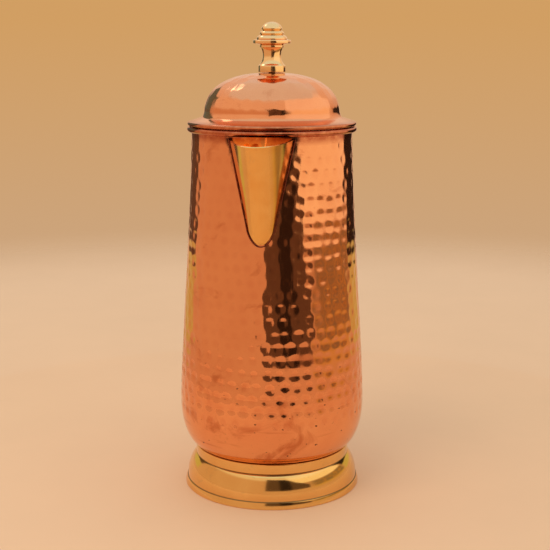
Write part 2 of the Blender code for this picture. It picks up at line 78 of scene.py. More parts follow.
# Hammer marks on the shell
SHELL_SIDES = 276
SHELL_STEP = 0.00128            # between rows of vertices where the shell is hammered
ROW_PITCH = 0.0077
ROW_TOP_Z = 0.2145
ROW_COUNT = 22
MARKS_PER_ROW = 45
MARK_RADIUS = 0.0033
MARK_DEPTH = 0.00034
ALONE_HIGH_Z = 0.100            # below this the marks start to stand alone
ALONE_LOW_Z = 0.070             # and from here down all of them do

# Foot
FOOT_NECK_RADIUS = 0.048
FOOT_NECK_LOW_Z = 0.0199
FOOT_GROOVE = (0.0474, 0.0194)  # the turned line between the neck and the swell
FOOT_SWELL = (0.0431, 0.0045)   # centre of the swell's elliptic curve
FOOT_SWELL_SIZE = (0.0103, 0.0165)
FOOT_BAND_LINE = (0.0536, 0.0043)   # the turned line between the swell and the bottom band
FOOT_SHADE_WIDTH = 0.0003
FOOT_SIDES = 200
FOOT_EDGE = (0.0550, 0.0004)    # widest point of the bottom band
FOOT_REST_RADIUS = 0.0547
FOOT_WALL = 0.0022
FOOT_SHELF_WIDTH = 0.0012       # how far the shell's ledge reaches over the foot's inner wall
SOLDER_SIZE = (0.0024, 0.0032)  # width and height of the fillet inside the foot

# Spout
SPOUT_SHEET = 0.001
SPOUT_TIP_Z = 0.1603
SPOUT_LENGTH = 0.0600
SPOUT_TIP_HALF_WIDTH = 0.0046
SPOUT_FLARE = 0.215             # half width gained per height
SPOUT_TIP_ROUND = 0.008
SPOUT_REACH = 0.0294            # how far the lip's middle stands off its chord
SPOUT_LIP_DIP = 0.0026          # how far the lip's middle drops below its corners
SPOUT_COLUMNS = 72
SPOUT_WELD = 0.000003
BRAZE_RADIUS = 0.00035

# Pour opening in the shell, behind the spout
POUR_LOW_Z = 0.1700
POUR_HEIGHT = 0.0390
POUR_TIP_HALF_WIDTH = 0.0030
POUR_TIP_ROUND = 0.005
POUR_FLARE = 0.19
POUR_CORNER = 0.004

# Handle
PAD_UPPER_Z = 0.1975
PAD_LOWER_Z = 0.0960
PAD_HALF_WIDTH = 0.0095
PAD_HALF_HEIGHT = 0.0140
PAD_PROUD = 0.0030              # the pad's outer face, from the shell
STRAP_HALF_WIDTH = 0.0065
STRAP_HALF_THICKNESS = 0.0034
RIVET_OFFSET = 0.0090           # of each rivet above or below its pad's middle
RIVET_HEAD_RADIUS = 0.0028
RIVET_HEAD_HEIGHT = 0.0016
RIVET_PEEN = (0.0026, 0.0011)   # radius and height of the end hammered over inside
RIVET_SHANK_RADIUS = 0.0015
RIVET_WASHER_RADIUS = 0.0036
RIVET_WASHER_THICKNESS = 0.0008
RIVET_WASHER_GAP = 0.00045      # a flat washer's middle, from the curved shell
HANDLE_VOXEL = 0.00058

# Lid
LID_SHEET = 0.0007
LID_EDGE_RADIUS = 0.00125
LID_EDGE_CENTRE = (0.04985, 0.22585)
DOME_RADIUS = 0.0411
DOME_LOW_Z = 0.2298
DOME_HEIGHT = DOME_TOP_Z - DOME_LOW_Z
DOME_ROUNDNESS = 2.45
LID_SIDES = 240
LID_STEP = 0.00085              # between rows of vertices on the dome
DOME_MARK_PITCH = 0.0062        # between rings of hammer marks
DOME_MARK_SPACING = 0.0064      # along a ring
DOME_MARK_RADIUS = 0.0040
DOME_MARK_DEPTH = 0.00022
SLEEVE_SHEET = 0.0006
SLEEVE_RADIUS = 0.0468
SLEEVE_SEAT_RADIUS = 0.0438     # inner edge of the sleeve's flat that is soldered under the flange
SCREW_CLEARANCE = 0.0023
SCREW_LENGTH = 0.0150
SCREW_RADIUS = 0.0020
SCREW_HEAD_RADIUS = 0.0040
SCREW_HEAD_HEIGHT = 0.0022
SCREW_SLOT = (0.0100, 0.0009, 0.0020)   # length, width and twice the depth
THREAD_PITCH = 0.0007
THREAD_DEPTH = 0.0003
KNOB_WASHER_RADIUS = 0.0070
KNOB_WASHER_THICKNESS = 0.0008
KNOB_WASHER_DROP = 0.0006       # the cupped washer's edge, below its middle

# Metals, as linear colours
COPPER = (0.89, 0.36, 0.165)
COPPER_DEEP = (0.74, 0.235, 0.105)
COPPER_DULL = (0.60, 0.27, 0.16)
COPPER_LOW_SHEEN = (0.94, 0.45, 0.215)
COPPER_STAIN = (0.58, 0.17, 0.065)
COPPER_SHADED = (0.47, 0.115, 0.05)
SHADE_AND_PIT_BLACK = (0.035, 0.015, 0.012)
BRASS = (0.88, 0.54, 0.20)
BRASS_DEEP = (0.78, 0.42, 0.13)
BRASS_PALE = (0.92, 0.54, 0.26)
BRASS_WARM = (0.885, 0.50, 0.16)
BRASS_WARM_DEEP = (0.80, 0.37, 0.085)
BRASS_DULL = (0.56, 0.38, 0.18)
BRASS_SHADED = (0.13, 0.075, 0.035)
BRAZE = (0.34, 0.075, 0.04)
BRAZE_DARK = (0.11, 0.03, 0.022)
SOLDER = (0.55, 0.52, 0.48)
SOLDER_DARK = (0.28, 0.26, 0.24)
IRON = (0.30, 0.28, 0.26)
IRON_RUST = (0.22, 0.11, 0.06)
STEEL = (0.62, 0.62, 0.60)
STEEL_DARK = (0.42, 0.42, 0.41)

# Surroundings, as linear colours
SAND = (0.72, 0.46, 0.27)
SAND_HIGH = (0.90, 0.76, 0.58)
SAND_BACKDROP_HIGH = (0.64, 0.345, 0.125)
SAND_BACKDROP_LOW = (0.60, 0.375, 0.21)
BRIGHT_PEACH = (1.10, 0.95, 0.65)
BRIGHT_HIGH = (1.10, 1.05, 0.90)
CEILING = (0.82, 0.98, 1.05)
GOLD = (0.48, 0.27, 0.085)
GOLD_PALE = (0.66, 0.42, 0.11)
GOLD_BROWN = (0.29, 0.21, 0.11)
YELLOW = (0.64, 0.55, 0.17)
BROWN = (0.13, 0.078, 0.045)
DEEP_BROWN = (0.03, 0.018, 0.012)
GREY_GREEN = (0.14, 0.18, 0.13)
WINDOW = (3.2, 3.2, 3.1)
ROOM = (0.74, 0.66, 0.58)
FLOOR = (0.89, 0.52, 0.29)
TENT_RADIUS = 0.32
TENT_HEIGHT = 0.90
TENT_LOW_Z = -0.02
FLOOR_RADIUS = 1.1

# Key light
KEY_PLACE = (-0.5, -0.7, 1.1)
KEY_SIZE = 0.7
KEY_POWER = 3.8
KEY_COLOUR = (1.0, 0.90, 0.78)

# Camera
CAMERA_TURN = 7.2               # degrees to the right of straight ahead
CAMERA_PITCH = 11.3             # degrees below level
CAMERA_DISTANCE = 0.70
CAMERA_HEIGHT = 0.272
CAMERA_LENS = 75.34
CAMERA_SHIFT = 0.0056


# Profiles

def bezier(start, start_handle, end_handle, end, steps):
    """Points along a cubic curve, both ends included."""
    points = []
    for step in range(steps + 1):
        t = step / steps
        weights = ((1 - t) ** 3, 3 * t * (1 - t) ** 2, 3 * t * t * (1 - t), t ** 3)
        corners = (start, start_handle, end_handle, end)
        r = sum(weight * corner[0] for weight, corner in zip(weights, corners))
        z = sum(weight * corner[1] for weight, corner in zip(weights, corners))
        points.append((r, z))
    return points


def signed_power(value, power):
    return abs(value) ** power if value >= 0 else -abs(value) ** power


def arc(centre, radii, first, last, steps, roundness=2.0):
    """Points on an ellipse from one angle to another; a roundness over 2 fills its corners out."""
    points = []
    for step in range(steps + 1):
        angle = radians(first + (last - first) * step / steps)
        r = centre[0] + radii[0] * signed_power(cos(angle), 2 / roundness)
        z = centre[1] + radii[1] * signed_power(sin(angle), 2 / roundness)
        points.append((r, z))
    return points


def offset_line(line, distance):
    """The line moved sideways: outwards for a line that runs down its outer side."""
    moved = []
    for index, (r, z) in enumerate(line):
        before = line[max(index - 1, 0)]
        after = line[min(index + 1, len(line) - 1)]
        along = Vector((after[0] - before[0], after[1] - before[1])).normalized()
        moved.append((r - along.y * distance, z + along.x * distance))
    return moved


def resample(line, spacing):
    """The same line with its points a steady distance apart, both ends kept."""
    points = np.array(line)
    steps = np.hypot(*(points[1:] - points[:-1]).T)
    length = np.concatenate(([0], np.cumsum(steps)))
    count = max(2, round(length[-1] / spacing) + 1)
    places = np.linspace(0, length[-1], count)
    r = np.interp(places, length, points[:, 0])
    z = np.interp(places, length, points[:, 1])
    return list(zip(r.tolist(), z.tolist()))


def ease_corners(line, size, steps=3, sharpest=20):
    """Rounds each corner of a line that turns by more than the sharpest angle allowed."""
    eased = [line[0]]
    for before, corner, after in zip(line, line[1:], line[2:]):
        here = Vector(corner)
        back = Vector(before) - here
        on = Vector(after) - here
        turn = 180 - degrees(back.angle(on)) if back.length and on.length else 0
        if turn < sharpest:
            eased.append(corner)
            continue
        reach = min(size, 0.4 * back.length, 0.4 * on.length)
        first = here + back.normalized() * reach
        last = here + on.normalized() * reach
        handles = (first.lerp(here, 0.6), last.lerp(here, 0.6))
        eased += bezier(tuple(first), *handles, tuple(last), steps)
    eased.append(line[-1])
    return eased


def height_on_line(line, radius):
    """The height at which a line that runs inwards and down reaches a radius."""
    for (r0, z0), (r1, z1) in zip(line, line[1:]):
        if r1 <= radius <= r0:
            return z0 + (z1 - z0) * (r0 - radius) / (r0 - r1)
    return line[-1][1]


def radius_on_line(line, height):
    """The radius at which a line that runs down reaches a height; above the line, its first radius."""
    if height > line[0][1]:
        return line[0][0]
    for (r0, z0), (r1, z1) in zip(line, line[1:]):
        if z1 <= height <= z0:
            return r0 + (r1 - r0) * (z0 - height) / (z0 - z1)
    return line[-1][0]


# Meshes

def configured(thing, settings):
    for name, value in settings.items():
        setattr(thing, name, value)
    return thing


def new_object(name, data):
    thing = bpy.data.objects.new(name, data)
    bpy.context.scene.collection.objects.link(thing)
    return thing


def new_piece(mesh, material, location=(0, AXIS_Y, 0)):
    """An object named after its mesh."""
    mesh.materials.append(material)
    return configured(new_object(mesh.name, mesh), {"location": location})


def stand_for(piece, node, body):
    """Shows a piece in place of a CAD node, riding on that node's body."""
    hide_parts(node)
    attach(piece, body)


def smooth(mesh):
    for polygon in mesh.polygons:
        polygon.use_smooth = True


def finished_mesh(name, shape):
    """The mesh that a bmesh holds, smooth shaded."""
    mesh = bpy.data.meshes.new(name)
    shape.to_mesh(mesh)
    shape.free()
    smooth(mesh)
    return mesh


def turned(out, up, sides):
    """Rows of vectors with these parts out from the axis and up it, one row for each pair."""
    angle = np.arange(sides) * (2 * pi / sides)
    x = out[:, None] * np.cos(angle)
    y = out[:, None] * np.sin(angle)
    return np.stack((x, y, np.repeat(up[:, None], sides, axis=1)), axis=2)


def turned_points(line, sides):
    """Rows of points, one row for each point of the line, one point for each side."""
    return turned(*np.array(line).T, sides)


def turned_normals(line, sides):
    """Outward directions for turned_points, for a line that runs down its outer side."""
    along = np.gradient(np.array(line), axis=0)
    along /= np.linalg.norm(along, axis=1, keepdims=True)
    return turned(-along[:, 1], along[:, 0], sides)


def faces_between(upper, lower):
    """Faces from one row of points down to the next; a row on the axis is one point."""
    sides = max(len(upper), len(lower))
    for side in range(sides):
        after = (side + 1) % sides
        if len(upper) == 1:
            yield upper[0], lower[side], lower[after]
        elif len(lower) == 1:
            yield upper[side], lower[0], upper[after]
        else:
            yield upper[side], lower[side], lower[after], upper[after]


def rows_mesh(name, rows, closed=False):
    """A mesh from rows of points that run round the axis."""
    starts = np.cumsum([0] + [len(row) for row in rows])
    numbers = [range(start, end) for start, end in zip(starts, starts[1:])]
    below = numbers[1:] + numbers[:1] if closed else numbers[1:]
    faces = [face for upper, lower in zip(numbers, below) for face in faces_between(upper, lower)]
    mesh = bpy.data.meshes.new(name)
    mesh.from_pydata(np.concatenate(rows).tolist(), [], faces)
    smooth(mesh)
    return mesh


def turned_mesh(name, line, sides, closed=False):
    """A turned mesh. A line that starts or ends on the axis gets one point there."""
    points = turned_points(line, sides)
    rows = [row[:1] if r < 1e-6 else row for (r, z), row in zip(line, points)]
    return rows_mesh(name, rows, closed)


def scale_round_axis(mesh, scale_at):
    """Moves each point out from the axis by a scale for its angle, radius and height."""
    for vert in mesh.vertices:
        place = vert.co
        scale = scale_at(atan2(place.y, place.x), hypot(place.x, place.y), place.z)
        vert.co = (place.x * scale, place.y * scale, place.z)


def modify(piece, kind, **settings):
    configured(piece.modifiers.new(kind.lower(), kind), settings)


def thicken(piece, thickness, offset):
    """Turns a surface into sheet: offset 1 adds it on the side the faces look to, -1 on the other."""
    modify(piece, "SOLIDIFY", thickness=thickness, offset=offset, use_even_offset=True)


def round_edges(piece, width):
    corner = {"limit_method": "ANGLE", "angle_limit": radians(40), "harden_normals": True}
    modify(piece, "BEVEL", width=width, segments=2, **corner)


def evaluated_mesh(piece):
    """The piece's mesh with its modifiers applied."""
    bpy.context.view_layer.update()
    graph = bpy.context.evaluated_depsgraph_get()
    return bpy.data.meshes.new_from_object(piece.evaluated_get(graph))


def store(mesh, name, values):
    """Keeps one number for each vertex, for materials to read."""
    attribute = mesh.attributes.new(name, "FLOAT", "POINT")
    attribute.data.foreach_set("value", np.asarray(values, np.float32).ravel())


def mark_depths(points, centres, radii, depths):
    """How deep round hammer marks go at each point. Where marks overlap the deepest counts, which
    leaves a ridge between them."""
    flat = points.reshape(-1, 3)
    total = np.zeros(len(flat))
    for centre, radius, depth in zip(centres, radii, depths):
        near = np.flatnonzero(np.abs(flat[:, 2] - centre[2]) < radius)
        share = np.sum((flat[near] - centre) ** 2, axis=1) / radius ** 2
        total[near] = np.maximum(total[near], depth * np.clip(1 - share, 0, 1))
    return total.reshape(points.shape[:2])


# The shell's shape, which its neighbours follow

def shell_side(steps):
    """The shell's outer side from the mouth down to the belly."""
    mouth = (MOUTH_RADIUS, MOUTH_Z)
    mouth_handle = (MOUTH_RADIUS + 0.0016, MOUTH_Z - 0.0623)
    belly_handle = (BELLY_RADIUS, BELLY_Z + 0.0281)
    return bezier(mouth, mouth_handle, belly_handle, (BELLY_RADIUS, BELLY_Z), steps)


def shell_base(last_angle, steps):
    """The shell's outer side from the belly round to its bottom ledge."""
    centre = (BELLY_RADIUS - BASE_TURN[0], BELLY_Z)
    return arc(centre, BASE_TURN, 0, last_angle, steps, roundness=BASE_ROUNDNESS)


SHELL_LINE = shell_side(160) + shell_base(LEDGE_ANGLE, 120)[1:]


def shell_radius(height):
    return radius_on_line(SHELL_LINE, height)


# Body

def shell_marks():
    """Rows of hammer marks: their centres on the shell, their radii and their depths. Low down,
    where the rows are apart, the marks are a little smaller and deeper."""
    chance = np.random.default_rng(SEED)
    centres, radii, depths = [], [], []
    for row in range(ROW_COUNT):
        row_z = ROW_TOP_Z - ROW_PITCH * row + chance.normal(0, 0.0002)
        start = chance.uniform(0, 2 * pi)
        alone = np.clip((ALONE_HIGH_Z - row_z) / (ALONE_HIGH_Z - ALONE_LOW_Z), 0, 1)
        for mark in range(MARKS_PER_ROW):
            angle = start + 2 * pi * (mark + chance.normal(0, 0.085)) / MARKS_PER_ROW
            height = row_z + chance.normal(0, 0.00035)
            radius = shell_radius(height)
            centres.append((radius * cos(angle), radius * sin(angle), height))
            radii.append(MARK_RADIUS * (1 - 0.12 * alone) * chance.uniform(0.86, 1.12))
            depths.append(MARK_DEPTH * (1 + 0.55 * alone) * chance.uniform(0.60, 1.25))
    return np.array(centres), radii, depths


def shell_surface_line():
    """From the curled end of the rim, round inside its bead and down the shell's outer side."""
    curl = BEAD_RADIUS - SHEET
    bead = arc(BEAD_CENTRE, (curl, curl), -95, 180, 22)
    side = resample(shell_side(160), SHELL_STEP)
    base = resample(shell_base(LEDGE_ANGLE, 160), SHELL_STEP * 1.35)
    return bead + side + base[1:], len(bead)


def pour_half_width(height):
    width = rounded_width(height, POUR_TIP_HALF_WIDTH, POUR_FLARE, POUR_TIP_ROUND)
    left = max(0.0, 1 - (POUR_HEIGHT - height) / POUR_CORNER)
    return width - POUR_CORNER * (1 - sqrt(1 - left * left))


def pour_outline():
    """The pour opening, as (x, height) points."""
    steps = 60
    heights = [POUR_HEIGHT * (1 - cos(pi * step / steps)) / 2 for step in range(steps + 1)]
    right = [(pour_half_width(height), POUR_LOW_Z + height) for height in heights]
    return right + [(-x, z) for x, z in reversed(right[1:-1])]


def rivet_hole_outline(height):
    size = RIVET_SHANK_RADIUS + GAP
    angles = [2 * pi * step / 24 for step in range(24)]
    return [(size * cos(angle), height + size * sin(angle)) for angle in angles]


def inside(outline, point):
    """Whether a point lies inside a closed outline."""
    x, z = point
    odd = False
    for (x0, z0), (x1, z1) in zip(outline, outline[1:] + outline[:1]):
        if (z0 > z) != (z1 > z) and x < x0 + (x1 - x0) * (z - z0) / (z1 - z0):
            odd = not odd
    return odd


def nearest_on(outline, point):
    here = Vector(point)
    best = None
    for start, end in zip(outline, outline[1:] + outline[:1]):
        start, end = Vector(start), Vector(end)
        along = end - start
        if along.length_squared < 1e-16:
            continue
        share = min(1, max(0, (here - start).dot(along) / along.length_squared))
        place = start + along * share
        if best is None or (place - here).length < (best - here).length:
            best = place
    return best


def open_outline(shape, outline, side):
    """Opens the shell inside an outline, on its front (side -1) or back (side 1)."""
    low_z = min(z for x, z in outline)
    high_z = max(z for x, z in outline)
    reach = max(x for x, z in outline)
    near = [face for face in shape.faces if low_z < face.calc_center_median().z < high_z]
    near = [face for face in near if face.calc_center_median().y * side > 0]
    near = [face for face in near if abs(face.calc_center_median().x) < reach]
    hidden = [face for face in near if inside(outline, face.calc_center_median().xz)]
    edge = {vert for face in hidden for vert in face.verts}
    bmesh.ops.delete(shape, geom=hidden, context="FACES")
    for vert in edge:
        if not vert.is_valid:
            continue
        place = nearest_on(outline, vert.co.xz)
        radius = hypot(vert.co.x, vert.co.y)
        vert.co = Vector((place.x, side * sqrt(radius ** 2 - place.x ** 2), place.y))


def shade_near_spout(points):
    """Painted shade beside the spout's outline: 1 at its upper corners under the rim bead, fainter lower
    down, 0 away from it.
    """
    route = np.array([tuple(place) for place in braze_route()])
    corner_shade = np.zeros(len(points))
    near = np.flatnonzero((points[:, 1] < 0) & (points[:, 2] > SPOUT_TIP_Z - 0.005))
    distance = np.linalg.norm(points[near, None] - route[None], axis=2).min(axis=1)
    height = np.clip((points[near, 2] - 0.196) / 0.020, 0.12, 1)
    corner_shade[near] = np.clip(1 - distance / 0.0036, 0, 1) * height
    return corner_shade


def make_body_wall():
    line, bead_rows = shell_surface_line()
    points = turned_points(line, SHELL_SIDES)
    depth = mark_depths(points, *shell_marks())
    depth[:bead_rows + 2] = 0
    points = points - turned_normals(line, SHELL_SIDES) * depth[:, :, None]
    mesh = rows_mesh("jug_shell", points)
    store(mesh, "mark_depth", depth / MARK_DEPTH)
    rows = np.arange(len(line))
    # painted shade: the rolled rim's bead is darkened, as if shaded under the lid's edge
    store(mesh, "crevice_shade", np.repeat(np.clip((bead_rows + 3 - rows) / 3, 0, 1), SHELL_SIDES))
    # painted shade beside the spout's outline, darkest at its upper corners under the rim bead
    store(mesh, "corner_shade", shade_near_spout(points.reshape(-1, 3)))
    shape = bmesh.new()
    shape.from_mesh(mesh)
    open_outline(shape, pour_outline(), -1)
    for pad_z in (PAD_UPPER_Z, PAD_LOWER_Z):
        for offset in (RIVET_OFFSET, -RIVET_OFFSET):
            open_outline(shape, rivet_hole_outline(pad_z + offset), 1)
    shape.to_mesh(mesh)
    shape.free()
    piece = new_piece(mesh, HAMMERED_COPPER)
    thicken(piece, SHEET, -1)
    stand_for(piece, "body_wall", "jug")


def make_rim_wire():
    """The wire that the rim is rolled round."""
    section = arc(BEAD_CENTRE, (WIRE_RADIUS, WIRE_RADIUS), 360, 36, 9)
    piece = new_piece(turned_mesh("rim_core_wire", section, 160, closed=True), IRON_WIRE)
    stand_for(piece, "rim_wire", "jug")


def make_bottom_plate():
    """A dished disc whose turned-up edge laps the inside of the shell."""
    lap = offset_line(shell_base(-80, 24), -SHEET - GAP)[12:]
    middle_z = lap[-1][1] + 0.0030
    dish = bezier(lap[-1], (0.036, lap[-1][1] - 0.0008), (0.020, middle_z), (0, middle_z), 40)
    piece = new_piece(turned_mesh("bottom_disc", lap + dish[1:], 144), PLAIN_COPPER)
    thicken(piece, SHEET, -1)
    round_edges(piece, 0.0002)
    stand_for(piece, "bottom_plate", "jug")


# Foot

def foot_outline():
    """A plain neck, a swelling skirt, a crisp line and a flared bottom band, then the hollow inside."""
    under = offset_line(shell_base(LEDGE_ANGLE, 60), GAP)
    shelf_r = LEDGE_RADIUS + FOOT_SHELF_WIDTH
    shelf = [point for point in under if shelf_r < point[0] < FOOT_NECK_RADIUS - 0.0004][::-1]
    neck_z = height_on_line(under, FOOT_NECK_RADIUS)
    neck = [(shelf_r, height_on_line(under, shelf_r))] + shelf
    neck += [(FOOT_NECK_RADIUS, neck_z - 0.0006), (FOOT_NECK_RADIUS, FOOT_NECK_LOW_Z), FOOT_GROOVE]
    swell = arc(FOOT_SWELL, FOOT_SWELL_SIZE, 61, 0, 40)
    band = bezier(FOOT_BAND_LINE, (0.0542, 0.0038), (0.0546, 0.0020), FOOT_EDGE, 14)
    rest = [(FOOT_REST_RADIUS, 0), (FOOT_REST_RADIUS - FOOT_WALL, 0)]
    inner = [(0.0513, 0.0045), (0.0497, 0.0120), (0.0468, 0.0165), (shelf_r, 0.0193)]
    return ease_corners(neck + swell + band + rest + inner, 0.0002)


def shade_in_turned_lines(outline):
    """How much painted shade darkens the foot's two turned lines, for each point of its outline."""
    lines = (FOOT_GROOVE, FOOT_BAND_LINE)
    away = np.array([min(hypot(r - line[0], z - line[1]) for line in lines) for r, z in outline])
    return np.clip(1.5 - away / FOOT_SHADE_WIDTH, 0, 0.9)


def make_foot():
    outline = foot_outline()
    mesh = turned_mesh("foot_turned_ring", outline, FOOT_SIDES, closed=True)
    # painted shade in the foot's two turned lines
    store(mesh, "crevice_shade", np.repeat(shade_in_turned_lines(outline), FOOT_SIDES))
    stand_for(new_piece(mesh, POLISHED_BRASS), "foot_ring", "jug")


def make_foot_solder():
    """The lumpy fillet between the foot's inner wall and the shell's ledge."""
    chance = np.random.default_rng(SEED + 1)
    under = offset_line(shell_base(LEDGE_ANGLE, 60), GAP)
    outer_r = LEDGE_RADIUS + FOOT_SHELF_WIDTH - GAP
    top_z = height_on_line(under, outer_r)
    width, height = SOLDER_SIZE
    outline = [(outer_r, top_z - GAP), (outer_r, top_z - height)]
    outline += [(outer_r - 0.0009, top_z - 0.0019), (outer_r - width, top_z - 0.0010)]
    mesh = turned_mesh("foot_solder_fillet", ease_corners(outline, 0.0004), 180, closed=True)
    sway = chance.uniform(0, 2 * pi, 3)

    def lumps(angle, radius, z):
        lump = 0.5 + 0.25 * sin(7 * angle + sway[0]) + 0.25 * sin(19 * angle + sway[1])
        return 1 + 0.012 * lump * max(0, min(1, (outer_r - radius) / width))

    scale_round_axis(mesh, lumps)
    stand_for(new_piece(mesh, DULL_SOLDER), "foot_solder", "jug")


# Spout

def rounded_width(height, tip_half_width, flare, tip_round):
    """Half width of a V with a round tip, at a height above the tip."""
    left = max(0.0, 1 - height / tip_round)
    return (tip_half_width + flare * height) * sqrt(max(0.0, 1 - left * left))


def spout_half_width(height):
    return rounded_width(height, SPOUT_TIP_HALF_WIDTH, SPOUT_FLARE, SPOUT_TIP_ROUND)


def spout_heights(tip_steps, side_steps):
    """Heights above the tip: close together round the tip, then even."""
    tip = [SPOUT_TIP_ROUND * (1 - cos(pi / 2 * step / tip_steps)) for step in range(tip_steps + 1)]
    rise = SPOUT_LENGTH - SPOUT_TIP_ROUND
    return tip + [SPOUT_TIP_ROUND + rise * (step + 1) / side_steps for step in range(side_steps)]


def spout_point(height, across):
    """A point of the spout's inner face; across runs from -1 to 1."""
    turn_angle = across * pi / 2
    half_width = spout_half_width(height)
    wall = shell_radius(SPOUT_TIP_Z + height) + GAP
    part = height / SPOUT_LENGTH
    x = half_width * sin(turn_angle)
    out = sqrt(wall ** 2 - half_width ** 2) + SPOUT_REACH * part ** 1.15 * max(0, cos(turn_angle)) ** 1.5
    dip = SPOUT_LIP_DIP * part ** 3 * cos(turn_angle)
    return Vector((x, -out, SPOUT_TIP_Z + height - dip))


def make_spout():
    shape = bmesh.new()
    tip = shape.verts.new(spout_point(0, 0))
    places = [2 * step / SPOUT_COLUMNS - 1 for step in range(SPOUT_COLUMNS + 1)]
    rows = []
    for height in spout_heights(14, 52)[1:]:
        rows.append([shape.verts.new(spout_point(height, place)) for place in places])
    for left, right in zip(rows[0], rows[0][1:]):
        shape.faces.new((tip, right, left))
    for low, high in zip(rows, rows[1:]):
        for corners in zip(low, low[1:], high[1:], high):
            shape.faces.new(corners)
    piece = new_piece(finished_mesh("spout_beak", shape), SPOUT_BRASS)
    thicken(piece, SPOUT_SHEET, 1)
    round_edges(piece, 0.00028)
    modify(piece, "WELD", merge_threshold=SPOUT_WELD)
    stand_for(piece, "spout", "jug")


def wall_point(sideways, height, proud):
    """A point off the front of the shell, from a distance measured round it."""
    radius = shell_radius(height)
    angle = sideways / radius
    return Vector(((radius + proud) * sin(angle), -(radius + proud) * cos(angle), height))


def braze_route():
    """The line round the spout's outline that the braze follows, on the shell."""
    clear = SPOUT_SHEET + GAP + BRAZE_RADIUS
    right = []
    for height in spout_heights(12, 44):
        half_width = spout_half_width(height)
        wall = shell_radius(SPOUT_TIP_Z + height)
        right.append(Vector((wall * asin(half_width / wall), SPOUT_TIP_Z + height)))
    outline = [Vector((-point.x, point.y)) for point in reversed(right[1:])] + right
    route = []
    for index, point in enumerate(outline):
        along = outline[min(index + 1, len(outline) - 1)] - outline[max(index - 1, 0)]
        sideways = Vector((along.y, -along.x)).normalized() * clear
        route.append(wall_point(point.x + sideways.x, point.y + sideways.y, GAP + BRAZE_RADIUS))
    return route


def swept_mesh(name, route, section):
    """A closed tube along a route of (centre, outward direction) pairs. section(index) gives its
    (sideways, outwards) points there."""
    shape = bmesh.new()
    rings = []
    for index, (centre, outwards) in enumerate(route):
        along = route[min(index + 1, len(route) - 1)][0] - route[max(index - 1, 0)][0]
        along.normalize()
        sideways = along.cross(outwards).normalized()
        outwards = sideways.cross(along).normalized()
        ring = [centre + sideways * a + outwards * b for a, b in section(index)]
        rings.append([shape.verts.new(point) for point in ring])
    for first, second in zip(rings, rings[1:]):
        for corners in zip(first, first[1:] + first[:1], second[1:] + second[:1], second):
            shape.faces.new(corners)
    shape.faces.new(rings[0][::-1])
    shape.faces.new(rings[-1])
    bmesh.ops.recalc_face_normals(shape, faces=shape.faces)
    return finished_mesh(name, shape)


def make_spout_braze():
    """A thin, slightly uneven bead of braze round the spout's outline."""
    chance = np.random.default_rng(SEED + 2)
    route = [(place, Vector((place.x, place.y, 0)).normalized()) for place in braze_route()]
    wander = np.convolve(chance.normal(0, 1, len(route) + 4), np.ones(5) / 3, "valid")
    sizes = np.minimum(BRAZE_RADIUS * (1 + 0.22 * wander), BRAZE_RADIUS * 1.25)

    def section(index):
        angles = [2 * pi * side / 10 for side in range(10)]
        return [(sizes[index] * cos(angle), sizes[index] * 0.9 * sin(angle)) for angle in angles]

    piece = new_piece(swept_mesh("spout_braze_line", route, section), DARK_BRAZE)
    stand_for(piece, "spout_braze", "jug")


# Handle

def pad_face(pad_z):
    """How far a pad's outer face stands from the axis."""
    return shell_radius(pad_z) + PAD_PROUD


def strap_centres():
    """(distance from the axis, height) points along the middle of the strap."""
    top = pad_face(PAD_UPPER_Z) - 0.002
    low = pad_face(PAD_LOWER_Z) - 0.002
    knots = [
        ((top, PAD_UPPER_Z), (top - 0.008, PAD_UPPER_Z - 0.001), (top + 0.012, PAD_UPPER_Z + 0.002)),
        ((0.0840, 0.2020), (0.0760, 0.2060), (0.0920, 0.1980)),
        ((0.0978, 0.1730), (0.0978, 0.1860), (0.0978, 0.1540)),
        ((0.0830, 0.1240), (0.0895, 0.1380), (0.0770, 0.1110)),
        ((low, PAD_LOWER_Z), (low + 0.010, PAD_LOWER_Z + 0.002), (low - 0.008, PAD_LOWER_Z - 0.002)),
    ]
    points = [knots[0][0]]
    for first, second in zip(knots, knots[1:]):
        points += bezier(first[0], first[2], second[1], second[0], 24)[1:]
    return points


def strap_mesh():
    points = strap_centres()
    route = []
    for index, (out, height) in enumerate(points):
        before = points[max(index - 1, 0)]
        after = points[min(index + 1, len(points) - 1)]
        along = Vector((0, after[0] - before[0], after[1] - before[1])).normalized()
        route.append((Vector((0, out, height)), Vector((1, 0, 0)).cross(along)))

    def section(index):
        share = index / (len(points) - 1)
        ends = max(0, 1 - min(share, 1 - share) / 0.14) ** 2
        width = STRAP_HALF_WIDTH * (1 - 0.07 * sin(pi * share) + 0.22 * ends)
        return arc((0, 0), (width, STRAP_HALF_THICKNESS), 0, 345, 23, roundness=2.25)

    return swept_mesh("handle_strap", route, section)


def pad_mesh(pad_z):
    """An oval pad with a rounded outer edge, deep enough to be fitted to the shell."""
    inner = shell_radius(pad_z) - 0.003
    outer = pad_face(pad_z)
    edge = 0.0012 / PAD_HALF_WIDTH
    line = [(0, outer), (1 - edge, outer)] + arc((1 - edge, outer - 0.0012), (edge, 0.0012), 75, 0, 4)
    line += [(1, inner), (0, inner)]
    mesh = turned_mesh("handle_pad", line, 56)
    place = Matrix.Rotation(-pi / 2, 4, "X") @ Matrix.Diagonal((PAD_HALF_WIDTH, PAD_HALF_HEIGHT, 1, 1))
    mesh.transform(Matrix.Translation((0, 0, pad_z)) @ place)
    return mesh


def joined(name, meshes):
    """One mesh that holds several."""
    shape = bmesh.new()
    for mesh in meshes:
        shape.from_mesh(mesh)
        bpy.data.meshes.remove(mesh)
    bmesh.ops.recalc_face_normals(shape, faces=shape.faces)
    return finished_mesh(name, shape)


def remeshed(mesh, voxel, smoothing):
    """The mesh's outer skin as one surface, with its joints softened."""
    scratch = new_object("scratch", mesh)
    modify(scratch, "REMESH", mode="VOXEL", voxel_size=voxel)
    modify(scratch, "SMOOTH", iterations=smoothing, factor=0.5)
    skin = evaluated_mesh(scratch)
    bpy.data.objects.remove(scratch)
    return skin


